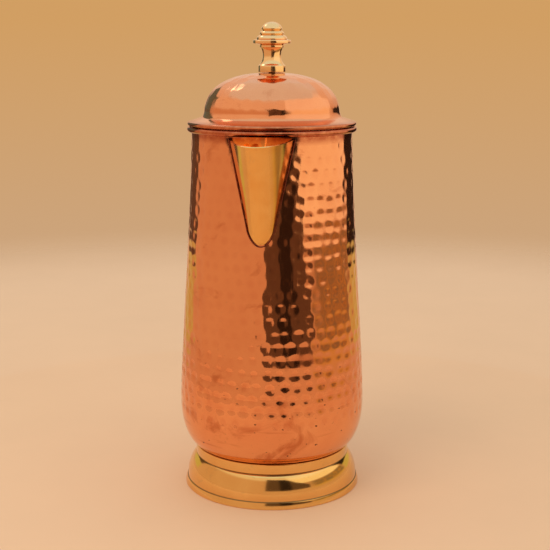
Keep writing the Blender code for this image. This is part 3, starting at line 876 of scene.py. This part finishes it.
def make_handle():
    """One brass casting: the strap flows into two pads that sit on the shell."""
    parts = joined("handle_parts", [strap_mesh(), pad_mesh(PAD_UPPER_Z), pad_mesh(PAD_LOWER_Z)])
    mesh = remeshed(parts, HANDLE_VOXEL, 5)
    mesh.name = "handle_casting"
    scale_round_axis(mesh, lambda angle, radius, z: max(1, (shell_radius(z) + GAP) / radius))
    smooth(mesh)
    stand_for(new_piece(mesh, CAST_BRASS), "handle", "jug")


def lay_along_y(piece, height):
    """Places a small turned piece so that its top faces outwards at the back of the jug."""
    return configured(piece, {"location": (0, AXIS_Y, height), "rotation_euler": (-pi / 2, 0, 0)})


def make_rivet(name, pad_z, height):
    """A dome-headed rivet, its shank and the head peened over its washer inside."""
    chance = np.random.default_rng(SEED + round(height * 1e4))
    face = pad_face(pad_z) + GAP
    wall = shell_radius(height) - SHEET
    peen = wall - RIVET_WASHER_GAP - RIVET_WASHER_THICKNESS - GAP
    head = arc((0, face), (RIVET_HEAD_RADIUS, RIVET_HEAD_HEIGHT), 90, 0, 12)
    shank = [(RIVET_SHANK_RADIUS, face), (RIVET_SHANK_RADIUS, peen)]
    peened = arc((0, peen), RIVET_PEEN, 0, -90, 7)
    mesh = turned_mesh(name, ease_corners(head + shank + peened, 0.00015), 36)
    sway = chance.uniform(0, 2 * pi, 2)
    scale_round_axis(mesh, lambda angle, radius, z:
                     1 + 0.012 * sin(3 * angle + sway[0]) + 0.008 * sin(5 * angle + sway[1]))
    return lay_along_y(new_piece(mesh, RIVET_BRASS), height)


def make_rivet_washer(name, height):
    outer = shell_radius(height) - SHEET - RIVET_WASHER_GAP
    inner = outer - RIVET_WASHER_THICKNESS
    hole = RIVET_SHANK_RADIUS + GAP
    middle = (outer + inner) / 2
    outline = [(hole, middle), (hole, outer), (RIVET_WASHER_RADIUS, outer), (RIVET_WASHER_RADIUS, inner)]
    outline += [(hole, inner), (hole, middle)]
    mesh = turned_mesh(name, ease_corners(outline, 0.0002)[:-1], 40, closed=True)
    return lay_along_y(new_piece(mesh, PLAIN_COPPER), height)


def make_rivets():
    for pad_name, pad_z in (("upper", PAD_UPPER_Z), ("lower", PAD_LOWER_Z)):
        for place, side in (("top", 1), ("low", -1)):
            height = pad_z + side * RIVET_OFFSET
            rivet = make_rivet(f"handle_rivet_{pad_name}_{place}", pad_z, height)
            stand_for(rivet, f"rivet_{pad_name}_{place}", "jug")
            washer = make_rivet_washer(f"rivet_washer_{pad_name}_{place}", height)
            stand_for(washer, f"washer_{pad_name}_{place}", "jug")


# Lid

def flange_line():
    """The flange's upper side, from the foot of the dome out to the rolled edge."""
    edge_r, edge_z = LID_EDGE_CENTRE
    outer = (edge_r - 0.0008, edge_z + LID_EDGE_RADIUS + 0.0003)
    return [(DOME_RADIUS + 0.0009, DOME_LOW_Z - 0.0002), outer]


def dome_marks():
    """Rings of shallow hammer marks round the dome."""
    chance = np.random.default_rng(SEED + 3)
    side = arc((0, DOME_LOW_Z), (DOME_RADIUS, DOME_HEIGHT), 82, 4, 200, DOME_ROUNDNESS)
    centres, radii, depths = [], [], []
    for r, z in resample(side, DOME_MARK_PITCH):
        count = max(5, round(2 * pi * r / DOME_MARK_SPACING))
        start = chance.uniform(0, 2 * pi)
        for mark in range(count):
            angle = start + 2 * pi * (mark + chance.normal(0, 0.09)) / count
            centres.append((r * cos(angle), r * sin(angle), z))
            radii.append(DOME_MARK_RADIUS * chance.uniform(0.9, 1.12))
            depths.append(DOME_MARK_DEPTH * chance.uniform(0.5, 1.2))
    return np.array(centres), radii, depths


def make_lid_dome():
    """The hammered dome, its flange and the edge rolled under, with a hole for the knob's screw."""
    hole = [(SCREW_CLEARANCE, DOME_TOP_Z)]
    dome = arc((0, DOME_LOW_Z), (DOME_RADIUS, DOME_HEIGHT), 85, 4, 220, roundness=DOME_ROUNDNESS)
    dome = resample(hole + dome, LID_STEP)
    dome_rows = len(dome)
    edge = arc(LID_EDGE_CENTRE, (LID_EDGE_RADIUS, LID_EDGE_RADIUS), 75, -120, 18)
    brim = ease_corners([dome[-1]] + flange_line() + [edge[0]], 0.0008, steps=4)[1:-1]
    flange = resample(brim, 0.0009)
    line = dome + flange + edge
    points = turned_points(line, LID_SIDES)
    depth = mark_depths(points, *dome_marks())
    depth[dome_rows:] = 0
    points = points - turned_normals(line, LID_SIDES) * depth[:, :, None]
    mesh = rows_mesh("lid_shell", points)
    store(mesh, "mark_depth", depth / MARK_DEPTH)
    # painted shade along the lid's rolled edge
    crevice_shade = np.clip((np.arange(len(line)) - dome_rows - len(flange) + 4) / 4, 0, 1) * 0.8
    store(mesh, "crevice_shade", np.repeat(crevice_shade, LID_SIDES))
    piece = new_piece(mesh, LID_COPPER)
    thicken(piece, LID_SHEET, -1)
    stand_for(piece, "lid_dome", "lid")


def make_lid_sleeve():
    """The collar under the flange that drops into the mouth and keeps the lid in the middle."""
    under = offset_line(flange_line(), -LID_SHEET - GAP)
    (inner_r, inner_z), (outer_r, outer_z) = under
    slope = (outer_z - inner_z) / (outer_r - inner_r)
    seat = [(r, inner_z + slope * (r - inner_r)) for r in (SLEEVE_SEAT_RADIUS, SLEEVE_RADIUS)]
    skirt = [(SLEEVE_RADIUS, SLEEVE_LOW_Z + 0.0020), (SLEEVE_RADIUS - 0.0006, SLEEVE_LOW_Z)]
    line = ease_corners(seat + skirt, 0.0012, steps=5)
    piece = new_piece(turned_mesh("lid_locating_sleeve", line, 160), PLAIN_COPPER)
    thicken(piece, SLEEVE_SHEET, -1)
    round_edges(piece, 0.00018)
    stand_for(piece, "lid_sleeve", "lid")


# Knob

def tier(inner, outer, low, high):
    """One swelling step of the knob's beehive, undercut where it meets the next."""
    return arc((inner, low), (outer - inner, high - low), 80, 14, 12)


def rounded_band(radius, low, high, edge=0.0006):
    """A turned band: its rounded upper edge, its side and its rounded lower edge."""
    upper = arc((radius - edge, high - edge), (edge, edge), 85, 0, 7)
    return upper + arc((radius - edge, low + edge), (edge, edge), 0, -85, 7)


def knob_outline():
    """(radius, height above the knob's base), from the top down, one curve for each turned feature."""
    cap = arc((0, 0.0240), (0.0065, 0.0054), 90, 14, 18)
    upper_tier = tier(0.0050, 0.0075, 0.0219, 0.0243)
    middle_tier = tier(0.0062, 0.0094, 0.0187, 0.0218)
    shoulder = [(0.0091, 0.0192), (0.0101, 0.0189)]
    disc = rounded_band(0.0114, 0.0166, 0.0188)
    ring = rounded_band(0.0073, 0.0142, 0.0160)
    waist = bezier((0.0064, 0.0136), (0.0052, 0.0112), (0.0048, 0.0075), (0.0075, 0.0043), 22)
    collar = [(0.0079, 0.0040), (0.0082, 0.0036), (0.0082, 0)]
    return cap + upper_tier + middle_tier + shoulder + disc + ring + waist + collar


def make_knob():
    """The turned finial, with a blind hole up its middle for the screw."""
    depth = SCREW_LENGTH - KNOB_WASHER_THICKNESS - LID_SHEET
    outside = ease_corners(knob_outline() + [(SCREW_CLEARANCE, 0)], 0.0002, sharpest=30)
    line = outside + [(SCREW_CLEARANCE, depth), (0, depth + 0.0010)]
    mesh = turned_mesh("finial_knob", [(r, KNOB_LOW_Z + z) for r, z in line], 128)
    stand_for(new_piece(mesh, KNOB_BRASS), "knob", "lid")


def make_knob_washer():
    low = WASHER_TOP_Z - KNOB_WASHER_THICKNESS
    middle = (SCREW_CLEARANCE, (WASHER_TOP_Z + low) / 2)
    outline = [middle, (SCREW_CLEARANCE, WASHER_TOP_Z)]
    outline += [(KNOB_WASHER_RADIUS, z - KNOB_WASHER_DROP) for z in (WASHER_TOP_Z, low)]
    outline += [(SCREW_CLEARANCE, low), middle]
    mesh = turned_mesh("knob_cup_washer", ease_corners(outline, 0.0002)[:-1], 72, closed=True)
    stand_for(new_piece(mesh, PLATED_STEEL), "knob_washer", "lid")


def screw_line():
    """From the screw's tip down its thread and round its pan head."""
    seat = SCREW_LOW_Z + SCREW_HEAD_HEIGHT
    line = [(0, SCREW_TOP_Z), (SCREW_RADIUS - 0.0004, SCREW_TOP_Z)]
    height = SCREW_TOP_Z - 0.0005
    while height - THREAD_PITCH > seat:
        line += [(SCREW_RADIUS, height), (SCREW_RADIUS - THREAD_DEPTH, height - THREAD_PITCH / 2)]
        height -= THREAD_PITCH
    line += [(SCREW_RADIUS, seat), (SCREW_HEAD_RADIUS, seat), (SCREW_HEAD_RADIUS, seat - 0.0010)]
    line += arc((SCREW_HEAD_RADIUS - 0.0012, SCREW_LOW_Z + 0.0012), (0.0012, 0.0012), -10, -90, 6)
    return line + [(0, SCREW_LOW_Z)]


def make_knob_screw():
    """A slotted pan-head screw that comes up from inside the dome."""
    piece = new_piece(turned_mesh("knob_slotted_screw", screw_line(), 64), PLATED_STEEL)
    shape = bmesh.new()
    slot = bmesh.ops.create_cube(shape, size=1)
    place = Matrix.Translation((0, 0, SCREW_LOW_Z)) @ Matrix.Diagonal((*SCREW_SLOT, 1))
    bmesh.ops.transform(shape, matrix=place, verts=slot["verts"])
    cutter = new_object("slot_cutter", finished_mesh("slot_cutter", shape))
    cutter.location = piece.location
    modify(piece, "BOOLEAN", object=cutter, solver="EXACT")
    piece.data = evaluated_mesh(piece)
    piece.modifiers.clear()
    bpy.data.objects.remove(cutter)
    piece.data.set_sharp_from_angle(angle=radians(45))
    stand_for(piece, "knob_screw", "lid")


# Materials

class Nodes:
    """Short calls for building one node tree. place is the point on the piece, in metres."""

    def __init__(self, tree):
        self.tree = tree
        self.coordinates = self.add("ShaderNodeTexCoord")
        self.place = self.coordinates.outputs["Object"]

    def add(self, kind, **settings):
        return configured(self.tree.nodes.new(kind), settings)

    def put(self, socket, value):
        """Links an output to the socket, or sets the socket to a plain value."""
        if isinstance(value, bpy.types.NodeSocket):
            self.tree.links.new(value, socket)
        elif isinstance(value, tuple) and len(value) == 3 and socket.type == "RGBA":
            socket.default_value = (*value, 1)
        else:
            socket.default_value = value

    def fill(self, node, values):
        """Fills the inputs with these names or numbers and returns the node's first output."""
        for key, value in values.items():
            self.put(node.inputs[key], value)
        return node.outputs[0]

    def math(self, operation, first, second=0.0):
        return self.fill(self.add("ShaderNodeMath", operation=operation), {0: first, 1: second})

    def plus(self, first, second):
        return self.math("ADD", first, second)

    def minus(self, first, second):
        return self.math("SUBTRACT", first, second)

    def times(self, first, second):
        return self.math("MULTIPLY", first, second)

    def fit(self, value, low, high, to_low, to_high, curve="LINEAR"):
        """The value carried from one range to another, held at its ends."""
        node = self.add("ShaderNodeMapRange", interpolation_type=curve)
        return self.fill(node, dict(enumerate((value, low, high, to_low, to_high))))

    def blend(self, share, first, second):
        node = self.add("ShaderNodeMix", data_type="RGBA")
        self.fill(node, {0: share, 6: first, 7: second})
        return node.outputs[2]

    def noise(self, scale, detail, roughness, distortion=0.0, place=None):
        values = {"Vector": self.place if place is None else place, "Scale": scale, "Detail": detail}
        values.update({"Roughness": roughness, "Distortion": distortion})
        return self.fill(self.add("ShaderNodeTexNoise"), values)

    def stretched(self, stretch, detail, roughness, distortion=0.0, turn=(0, 0, 0)):
        """Noise with its own scale along each axis."""
        values = {"Vector": self.place, "Scale": stretch, "Rotation": turn}
        place = self.fill(self.add("ShaderNodeMapping"), values)
        return self.noise(1.0, detail, roughness, distortion, place)

    def split(self, vector):
        node = self.add("ShaderNodeSeparateXYZ")
        self.put(node.inputs[0], vector)
        return node.outputs

    def bump(self, height, distance, strength, normal=None):
        values = {"Height": height, "Distance": distance, "Strength": strength}
        if normal is not None:
            values["Normal"] = normal
        return self.fill(self.add("ShaderNodeBump"), values)

    def attribute(self, name):
        return self.add("ShaderNodeAttribute", attribute_name=name).outputs["Fac"]


class Surface(Nodes):
    """A material with one shader, a metal unless it says otherwise."""

    def __init__(self, name, metallic=1.0):
        self.material = bpy.data.materials.new(name)
        self.material.use_nodes = True
        super().__init__(self.material.node_tree)
        self.shader = self.tree.nodes["Principled BSDF"]
        self.shader.inputs["Metallic"].default_value = metallic

    def lathe_marks(self, around, up, roughness):
        """Noise drawn out round the axis, on coordinates that run round it, up it and out from it."""
        x, y, z = self.split(self.place)
        out = self.math("SQRT", self.plus(self.times(x, x), self.times(y, y)))
        angle = self.times(self.math("ARCTAN2", y, x), around)
        parts = {0: angle, 1: self.times(z, up), 2: self.times(out, up)}
        place = self.fill(self.add("ShaderNodeCombineXYZ"), parts)
        return self.noise(1.0, 2.0, roughness, place=place)

    def finish(self, colour, rough, normal):
        self.fill(self.shader, {"Base Color": colour, "Roughness": rough, "Normal": normal})
        return self.material


def hammered_copper(name, rough_low, rough_high, mark_shade_share):
    """Polished copper with painted shade: darker and redder in its hammer marks, darker along its rolled
    edge and black beside the spout. A painted sheen makes it paler low down, where it is also stained and
    pitted."""
    metal = Surface(name)
    height = metal.split(metal.place)[2]
    low = metal.fit(height, 0.035, 0.12, 1.0, 0.0)
    clouds = metal.noise(32.0, 4.0, 0.55, 0.6)
    stains = metal.stretched((24, 24, 30), 6.0, 0.62, 1.6)
    streaks = metal.stretched((26, 26, 260), 4.0, 0.6, 0.4)
    pits = metal.stretched((210, 210, 420), 2.0, 0.5)
    specks = metal.noise(700.0, 2.0, 0.6)
    uneven = metal.fit(metal.noise(240.0, 4.0, 0.65), 0.36, 0.56, 0.25, 1.0)
    strokes = metal.stretched((900, 900, 45), 2.0, 0.5, turn=(0.5, 0.2, 0.9))
    scratches = metal.fit(strokes, 0.63, 0.708, 0.0, 1.0)

    stain_limit = metal.minus(0.60, metal.times(low, 0.07))
    stain = metal.fit(metal.minus(stains, stain_limit), 0.0, 0.12, 0.0, 0.8)
    streak = metal.times(metal.fit(streaks, 0.60, 0.74, 0.0, 0.6), low)
    stain = metal.math("MAXIMUM", stain, streak)
    pit = metal.times(metal.fit(pits, 0.70, 0.75, 0.0, 0.85), low)
    # painted shade along the rolled edges, made uneven
    crevice_shade = metal.times(metal.attribute("crevice_shade"), metal.fit(uneven, 0.25, 1.0, 0.6, 1.0))
    # painted shade beside the spout, together with real pits low down, both turned nearly black
    dark = metal.math("MAXIMUM", metal.times(metal.attribute("corner_shade"), uneven), pit)

    # painted sheen: the copper is paler near the bottom
    colour = metal.blend(metal.fit(height, 0.030, 0.064, 1.0, 0.0), COPPER, COPPER_LOW_SHEEN)
    colour = metal.blend(metal.fit(clouds, 0.35, 0.70, 0.0, 0.40), colour, COPPER_DEEP)
    colour = metal.blend(stain, colour, COPPER_STAIN)
    # painted shade: the copper is darker and redder in the hammer marks, by their depth
    hollow = metal.fit(metal.attribute("mark_depth"), 0.2, 1.0, 0.0, mark_shade_share)
    colour = metal.blend(hollow, colour, COPPER_DEEP)
    colour = metal.blend(metal.fit(specks, 0.68, 0.74, 0.0, 0.4), colour, COPPER_DULL)
    colour = metal.blend(crevice_shade, colour, COPPER_SHADED)
    colour = metal.blend(metal.fit(dark, 0.05, 0.60, 0.0, 0.95), colour, SHADE_AND_PIT_BLACK)

    rough = metal.fit(clouds, 0.3, 0.75, rough_low, rough_high)
    for share, amount in ((stain, 0.10), (dark, 0.25), (scratches, 0.08)):
        rough = metal.plus(rough, metal.times(share, amount))
    soft = metal.bump(metal.noise(260.0, 3.0, 0.5), 0.00006, 0.35)
    relief = metal.minus(metal.minus(specks, metal.times(scratches, 0.5)), metal.times(pit, 8.0))
    return metal.finish(colour, rough, metal.bump(relief, 0.00001, 0.5, soft))


def plain_copper():
    """Unpolished copper sheet: browner, with spinning marks and a satin surface."""
    metal = Surface("plain_copper_sheet")
    clouds = metal.noise(55.0, 5.0, 0.6, 0.8)
    colour = metal.blend(metal.fit(clouds, 0.3, 0.7, 0.0, 1.0), COPPER, COPPER_DULL)
    rough = metal.fit(clouds, 0.3, 0.7, 0.22, 0.42)
    return metal.finish(colour, rough, metal.bump(metal.lathe_marks(0.8, 1400, 0.5), 0.00003, 0.5))


def turned_brass(name, colours, rough_low, rough_high, ring_depth):
    """Polished brass with fine lathe marks, light tarnish in patches and painted shade in its turned
    lines.
    """
    metal = Surface(name)
    clouds = metal.noise(48.0, 4.0, 0.55, 0.5)
    tarnish = metal.fit(metal.stretched((90, 90, 140), 5.0, 0.65, 1.0), 0.58, 0.74, 0.0, 0.45)
    crevice_shade = metal.attribute("crevice_shade")
    colour = metal.blend(metal.fit(clouds, 0.35, 0.7, 0.0, 0.5), *colours)
    colour = metal.blend(tarnish, colour, BRASS_DULL)
    # painted shade in the turned lines, which also roughens them
    colour = metal.blend(crevice_shade, colour, BRASS_SHADED)
    rough = metal.fit(clouds, 0.3, 0.75, rough_low, rough_high)
    rough = metal.plus(rough, metal.times(tarnish, 0.12))
    rough = metal.plus(rough, metal.times(crevice_shade, 0.30))
    return metal.finish(colour, rough, metal.bump(metal.lathe_marks(0.6, 2200, 0.6), ring_depth, 0.4))


def brushed_brass():
    """The spout's sheet brass: polished lengthwise, with faint ripples from forming."""
    metal = Surface("spout_sheet_brass")
    clouds = metal.noise(60.0, 4.0, 0.55, 0.6)
    lines = metal.stretched((1900, 1900, 60), 2.0, 0.6)
    tarnish = metal.fit(metal.noise(120.0, 5.0, 0.65, 1.0), 0.60, 0.76, 0.0, 0.35)
    colour = metal.blend(metal.fit(clouds, 0.35, 0.7, 0.0, 0.6), BRASS_WARM, BRASS_WARM_DEEP)
    colour = metal.blend(tarnish, colour, BRASS_DULL)
    rough = metal.plus(metal.fit(lines, 0.3, 0.7, 0.10, 0.17), metal.times(tarnish, 0.10))
    ripples = metal.bump(metal.stretched((90, 90, 40), 2.0, 0.4), 0.0004, 0.25)
    return metal.finish(colour, rough, metal.bump(lines, 0.000008, 0.4, ripples))


def cast_brass(name, rough_low, rough_high):
    """Cast brass, filed and buffed: a soft grain, shallow pits and darker skin left in places."""
    metal = Surface(name)
    clouds = metal.noise(70.0, 4.0, 0.6, 0.7)
    dents = metal.noise(190.0, 2.0, 0.5)
    cells = metal.add("ShaderNodeTexVoronoi")
    metal.fill(cells, {"Vector": metal.place, "Scale": 420.0})
    pit = metal.fit(cells.outputs["Distance"], 0.05, 0.22, 1.0, 0.0)
    pit = metal.times(pit, metal.fit(dents, 0.55, 0.66, 0.0, 1.0))
    colour = metal.blend(metal.fit(clouds, 0.3, 0.7, 0.0, 0.8), BRASS, BRASS_DEEP)
    colour = metal.blend(metal.times(pit, 0.7), colour, BRASS_DULL)
    rough = metal.fit(clouds, 0.3, 0.7, rough_low, rough_high)
    soft = metal.bump(dents, 0.00025, 0.35)
    relief = metal.minus(metal.times(metal.noise(900.0, 3.0, 0.6), 0.4), pit)
    return metal.finish(colour, rough, metal.bump(relief, 0.00006, 0.5, soft))


def lumpy_metal(name, colours, scale, rough, distance):
    """A metal that was never polished: solder, braze, wire or plating."""
    metal = Surface(name)
    clouds = metal.noise(scale, 5.0, 0.65, 0.8)
    colour = metal.blend(metal.fit(clouds, 0.35, 0.65, 0.0, 1.0), *colours)
    soft = metal.bump(clouds, distance, 0.6)
    grain = metal.bump(metal.noise(scale * 6, 3.0, 0.6), distance * 0.2, 0.5, soft)
    return metal.finish(colour, metal.fit(clouds, 0.3, 0.7, rough, rough + 0.15), grain)


# Stage

def floor_material():
    """A pale matt floor that fades into the backdrop away from the jug."""
    floor = Surface("pale_floor", metallic=0.0)
    mottle = floor.fit(floor.noise(9.0, 4.0, 0.6), 0.3, 0.7, 0.0, 1.0)
    pale = floor.blend(mottle, FLOOR, tuple(part * 0.965 for part in FLOOR))
    floor.fill(floor.shader, {"Base Color": pale, "Roughness": 0.75})
    away = floor.add("ShaderNodeVectorMath", operation="LENGTH")
    floor.put(away.inputs[0], floor.place)
    fade = floor.fit(away.outputs["Value"], 0.62, 1.05, 0.0, 1.0, "SMOOTHSTEP")
    clear = floor.add("ShaderNodeBsdfTransparent").outputs[0]
    mix = floor.fill(floor.add("ShaderNodeMixShader"), {0: fade, 1: floor.shader.outputs[0], 2: clear})
    floor.put(floor.tree.nodes["Material Output"].inputs["Surface"], mix)
    return floor.material


def make_floor():
    shape = bmesh.new()
    bmesh.ops.create_circle(shape, cap_ends=True, segments=96, radius=FLOOR_RADIUS)
    new_piece(finished_mesh("floor", shape), floor_material(), (0, 0, 0))


class TentPaint(Nodes):
    """Paint for the tent by place: degrees round the jug from the camera's side, and height."""

    def __init__(self, tree):
        super().__init__(tree)
        x, y, self.height = self.split(self.place)
        turn = self.math("ARCTAN2", x, self.times(y, -1.0))
        self.side = self.minus(self.times(turn, degrees(1)), CAMERA_TURN)
        self.away = self.math("ABSOLUTE", self.side)

    def rise(self, value, level, soft):
        """0 below the level and 1 above it."""
        return self.fit(value, self.minus(level, soft), self.plus(level, soft), 0.0, 1.0, "SMOOTHSTEP")

    def band(self, value, low, high, soft):
        """1 between two levels and 0 outside them."""
        below = self.minus(1.0, self.rise(value, high, soft))
        return self.times(self.rise(value, low, soft), below)

    def sides(self, low, high, soft):
        return self.band(self.side, low, high, soft)

    def heights(self, low, high, soft):
        return self.band(self.height, low, high, soft)

    def patch(self, colour, paint, *shares):
        """The colour with paint over it where every share is 1."""
        share = shares[0]
        for other in shares[1:]:
            share = self.times(share, other)
        return self.blend(share, colour, paint)


def paint_walls(tent):
    """Sand walls, brighter on the right, under a cool ceiling."""
    colour = tent.patch(SAND, SAND_HIGH, tent.rise(tent.height, 0.30, 0.05))
    right = tent.sides(26, 112, 4)
    colour = tent.patch(colour, BRIGHT_PEACH, right, tent.rise(tent.height, 0.15, 0.012))
    colour = tent.patch(colour, BRIGHT_HIGH, right, tent.rise(tent.height, 0.30, 0.05))
    return tent.patch(colour, CEILING, tent.rise(tent.height, 0.52, 0.08))


def paint_right_band(tent, colour):
    """A low mottled band of gold and brown on the right."""
    mottle = tent.fit(tent.noise(26.0, 4.0, 0.6), 0.40, 0.60, 0.0, 1.0)
    mix = tent.blend(mottle, GOLD, GOLD_BROWN)
    mix = tent.patch(mix, GOLD_PALE, tent.heights(0.025, 0.055, 0.012))
    fade_in = tent.times(tent.rise(tent.side, 52, 9), tent.rise(tent.height, 0.035, 0.025))
    return tent.patch(colour, mix, fade_in, tent.sides(0, 114, 4), tent.heights(-1, 0.14, 0.01))


def paint_opening(tent, colour):
    """The dark opening in front, with a sharp left edge and a right edge that leans in as it rises."""
    right_edge = tent.fit(tent.height, 0.10, 0.196, 49.0, 32.0)
    right_edge = tent.minus(right_edge, tent.fit(tent.height, 0.196, 0.326, 0.0, 11.0))
    right_edge = tent.minus(right_edge, tent.fit(tent.height, 0.326, 0.368, 0.0, 29.0))
    inside_right = tent.minus(1.0, tent.rise(tent.side, right_edge, 1.5))
    opening = tent.times(tent.rise(tent.side, -8.0, 0.5), inside_right)
    colour = tent.patch(colour, BROWN, opening, tent.heights(0.05, 0.37, 0.006))
    return tent.patch(colour, DEEP_BROWN, opening, tent.sides(10, 25, 2.5), tent.heights(0.05, 0.34, 0.01))


def paint_back(tent, colour):
    """Dark strips, yellow patches and a window behind the jug's two sides."""
    left = tent.sides(-153, -118, 3)
    both = tent.band(tent.away, 116, 143, 4)
    colour = tent.patch(colour, DEEP_BROWN, tent.sides(115, 152, 3), tent.heights(0.10, 0.26, 0.012))
    colour = tent.patch(colour, BROWN, left, tent.heights(0.11, 0.40, 0.012))
    colour = tent.patch(colour, GREY_GREEN, left, tent.heights(0.23, 0.40, 0.02))
    colour = tent.patch(colour, YELLOW, both, tent.heights(0.03, 0.11, 0.008))
    return tent.patch(colour, WINDOW, tent.sides(-141, -119, 2), tent.heights(0.54, 0.66, 0.01))


def make_tent():
    """A glowing tube round the jug that only its reflections see: painted reflections, with a painted
    window highlight.
    """
    material = bpy.data.materials.new("tent_paint")
    material.use_nodes = True
    material.node_tree.nodes.clear()
    tent = TentPaint(material.node_tree)
    colour = paint_back(tent, paint_opening(tent, paint_right_band(tent, paint_walls(tent))))
    glow = tent.fill(tent.add("ShaderNodeEmission"), {"Color": colour})
    tent.put(tent.add("ShaderNodeOutputMaterial").inputs["Surface"], glow)
    wall = [(TENT_RADIUS, TENT_HEIGHT), (TENT_RADIUS, TENT_LOW_Z)]
    piece = new_piece(turned_mesh("tent", wall, 128), material)
    for ray in ("camera", "diffuse", "transmission", "shadow"):
        setattr(piece, f"visible_{ray}", False)


def make_room():
    """A plain soft light from all round, behind a sand backdrop that the camera sees."""
    world = bpy.data.worlds.new("room")
    world.use_nodes = True
    bpy.context.scene.world = world
    room = Nodes(world.node_tree)
    up = room.split(room.coordinates.outputs["Generated"])[2]
    backdrop = room.blend(room.fit(up, -0.19, 0.02, 0.0, 1.0), SAND_BACKDROP_LOW, SAND_BACKDROP_HIGH)
    light = room.blend(room.fit(up, 0.2, 0.9, 0.0, 1.0), ROOM, CEILING)
    seen = room.add("ShaderNodeLightPath").outputs["Is Camera Ray"]
    room.put(room.tree.nodes["Background"].inputs["Color"], room.blend(seen, light, backdrop))


def make_key_light():
    data = bpy.data.lights.new("key_light", "AREA")
    configured(data, {"size": KEY_SIZE, "energy": KEY_POWER, "color": KEY_COLOUR})
    lamp = configured(new_object("key_light", data), {"location": KEY_PLACE, "visible_glossy": False})
    towards = Vector((0, AXIS_Y, 0.1)) - Vector(KEY_PLACE)
    lamp.rotation_euler = towards.to_track_quat("-Z", "Y").to_euler()


def make_camera():
    turn = radians(CAMERA_TURN)
    data = configured(bpy.data.cameras.new("camera"), {"lens": CAMERA_LENS, "shift_x": CAMERA_SHIFT})
    camera = new_object("camera", data)
    camera.location = (CAMERA_DISTANCE * sin(turn), AXIS_Y - CAMERA_DISTANCE * cos(turn), CAMERA_HEIGHT)
    camera.rotation_euler = (radians(90 - CAMERA_PITCH), 0, turn)
    bpy.context.scene.camera = camera


HAMMERED_COPPER = hammered_copper("hammered_copper_body", 0.065, 0.13, 0.25)
LID_COPPER = hammered_copper("hammered_copper_lid", 0.08, 0.15, 0.15)
PLAIN_COPPER = plain_copper()
POLISHED_BRASS = turned_brass("polished_brass_foot", (BRASS, BRASS_DEEP), 0.07, 0.13, 0.000012)
KNOB_BRASS = turned_brass("polished_brass_knob", (BRASS_PALE, BRASS), 0.10, 0.18, 0.00001)
SPOUT_BRASS = brushed_brass()
CAST_BRASS = cast_brass("cast_brass_handle", 0.18, 0.30)
RIVET_BRASS = cast_brass("rivet_brass", 0.16, 0.26)
DARK_BRAZE = lumpy_metal("dark_braze", (BRAZE, BRAZE_DARK), 500.0, 0.35, 0.00008)
DULL_SOLDER = lumpy_metal("dull_solder", (SOLDER, SOLDER_DARK), 260.0, 0.40, 0.0002)
IRON_WIRE = lumpy_metal("iron_wire", (IRON, IRON_RUST), 400.0, 0.40, 0.00005)
PLATED_STEEL = lumpy_metal("plated_steel", (STEEL, STEEL_DARK), 300.0, 0.20, 0.00002)

make_body_wall()
make_rim_wire()
make_bottom_plate()
make_foot()
make_foot_solder()
make_spout()
make_spout_braze()
make_handle()
make_rivets()
make_lid_dome()
make_lid_sleeve()
make_knob()
make_knob_washer()
make_knob_screw()

make_floor()
make_tent()
make_room()
make_key_light()
make_camera()
bpy.context.scene.view_settings.view_transform = "Standard"
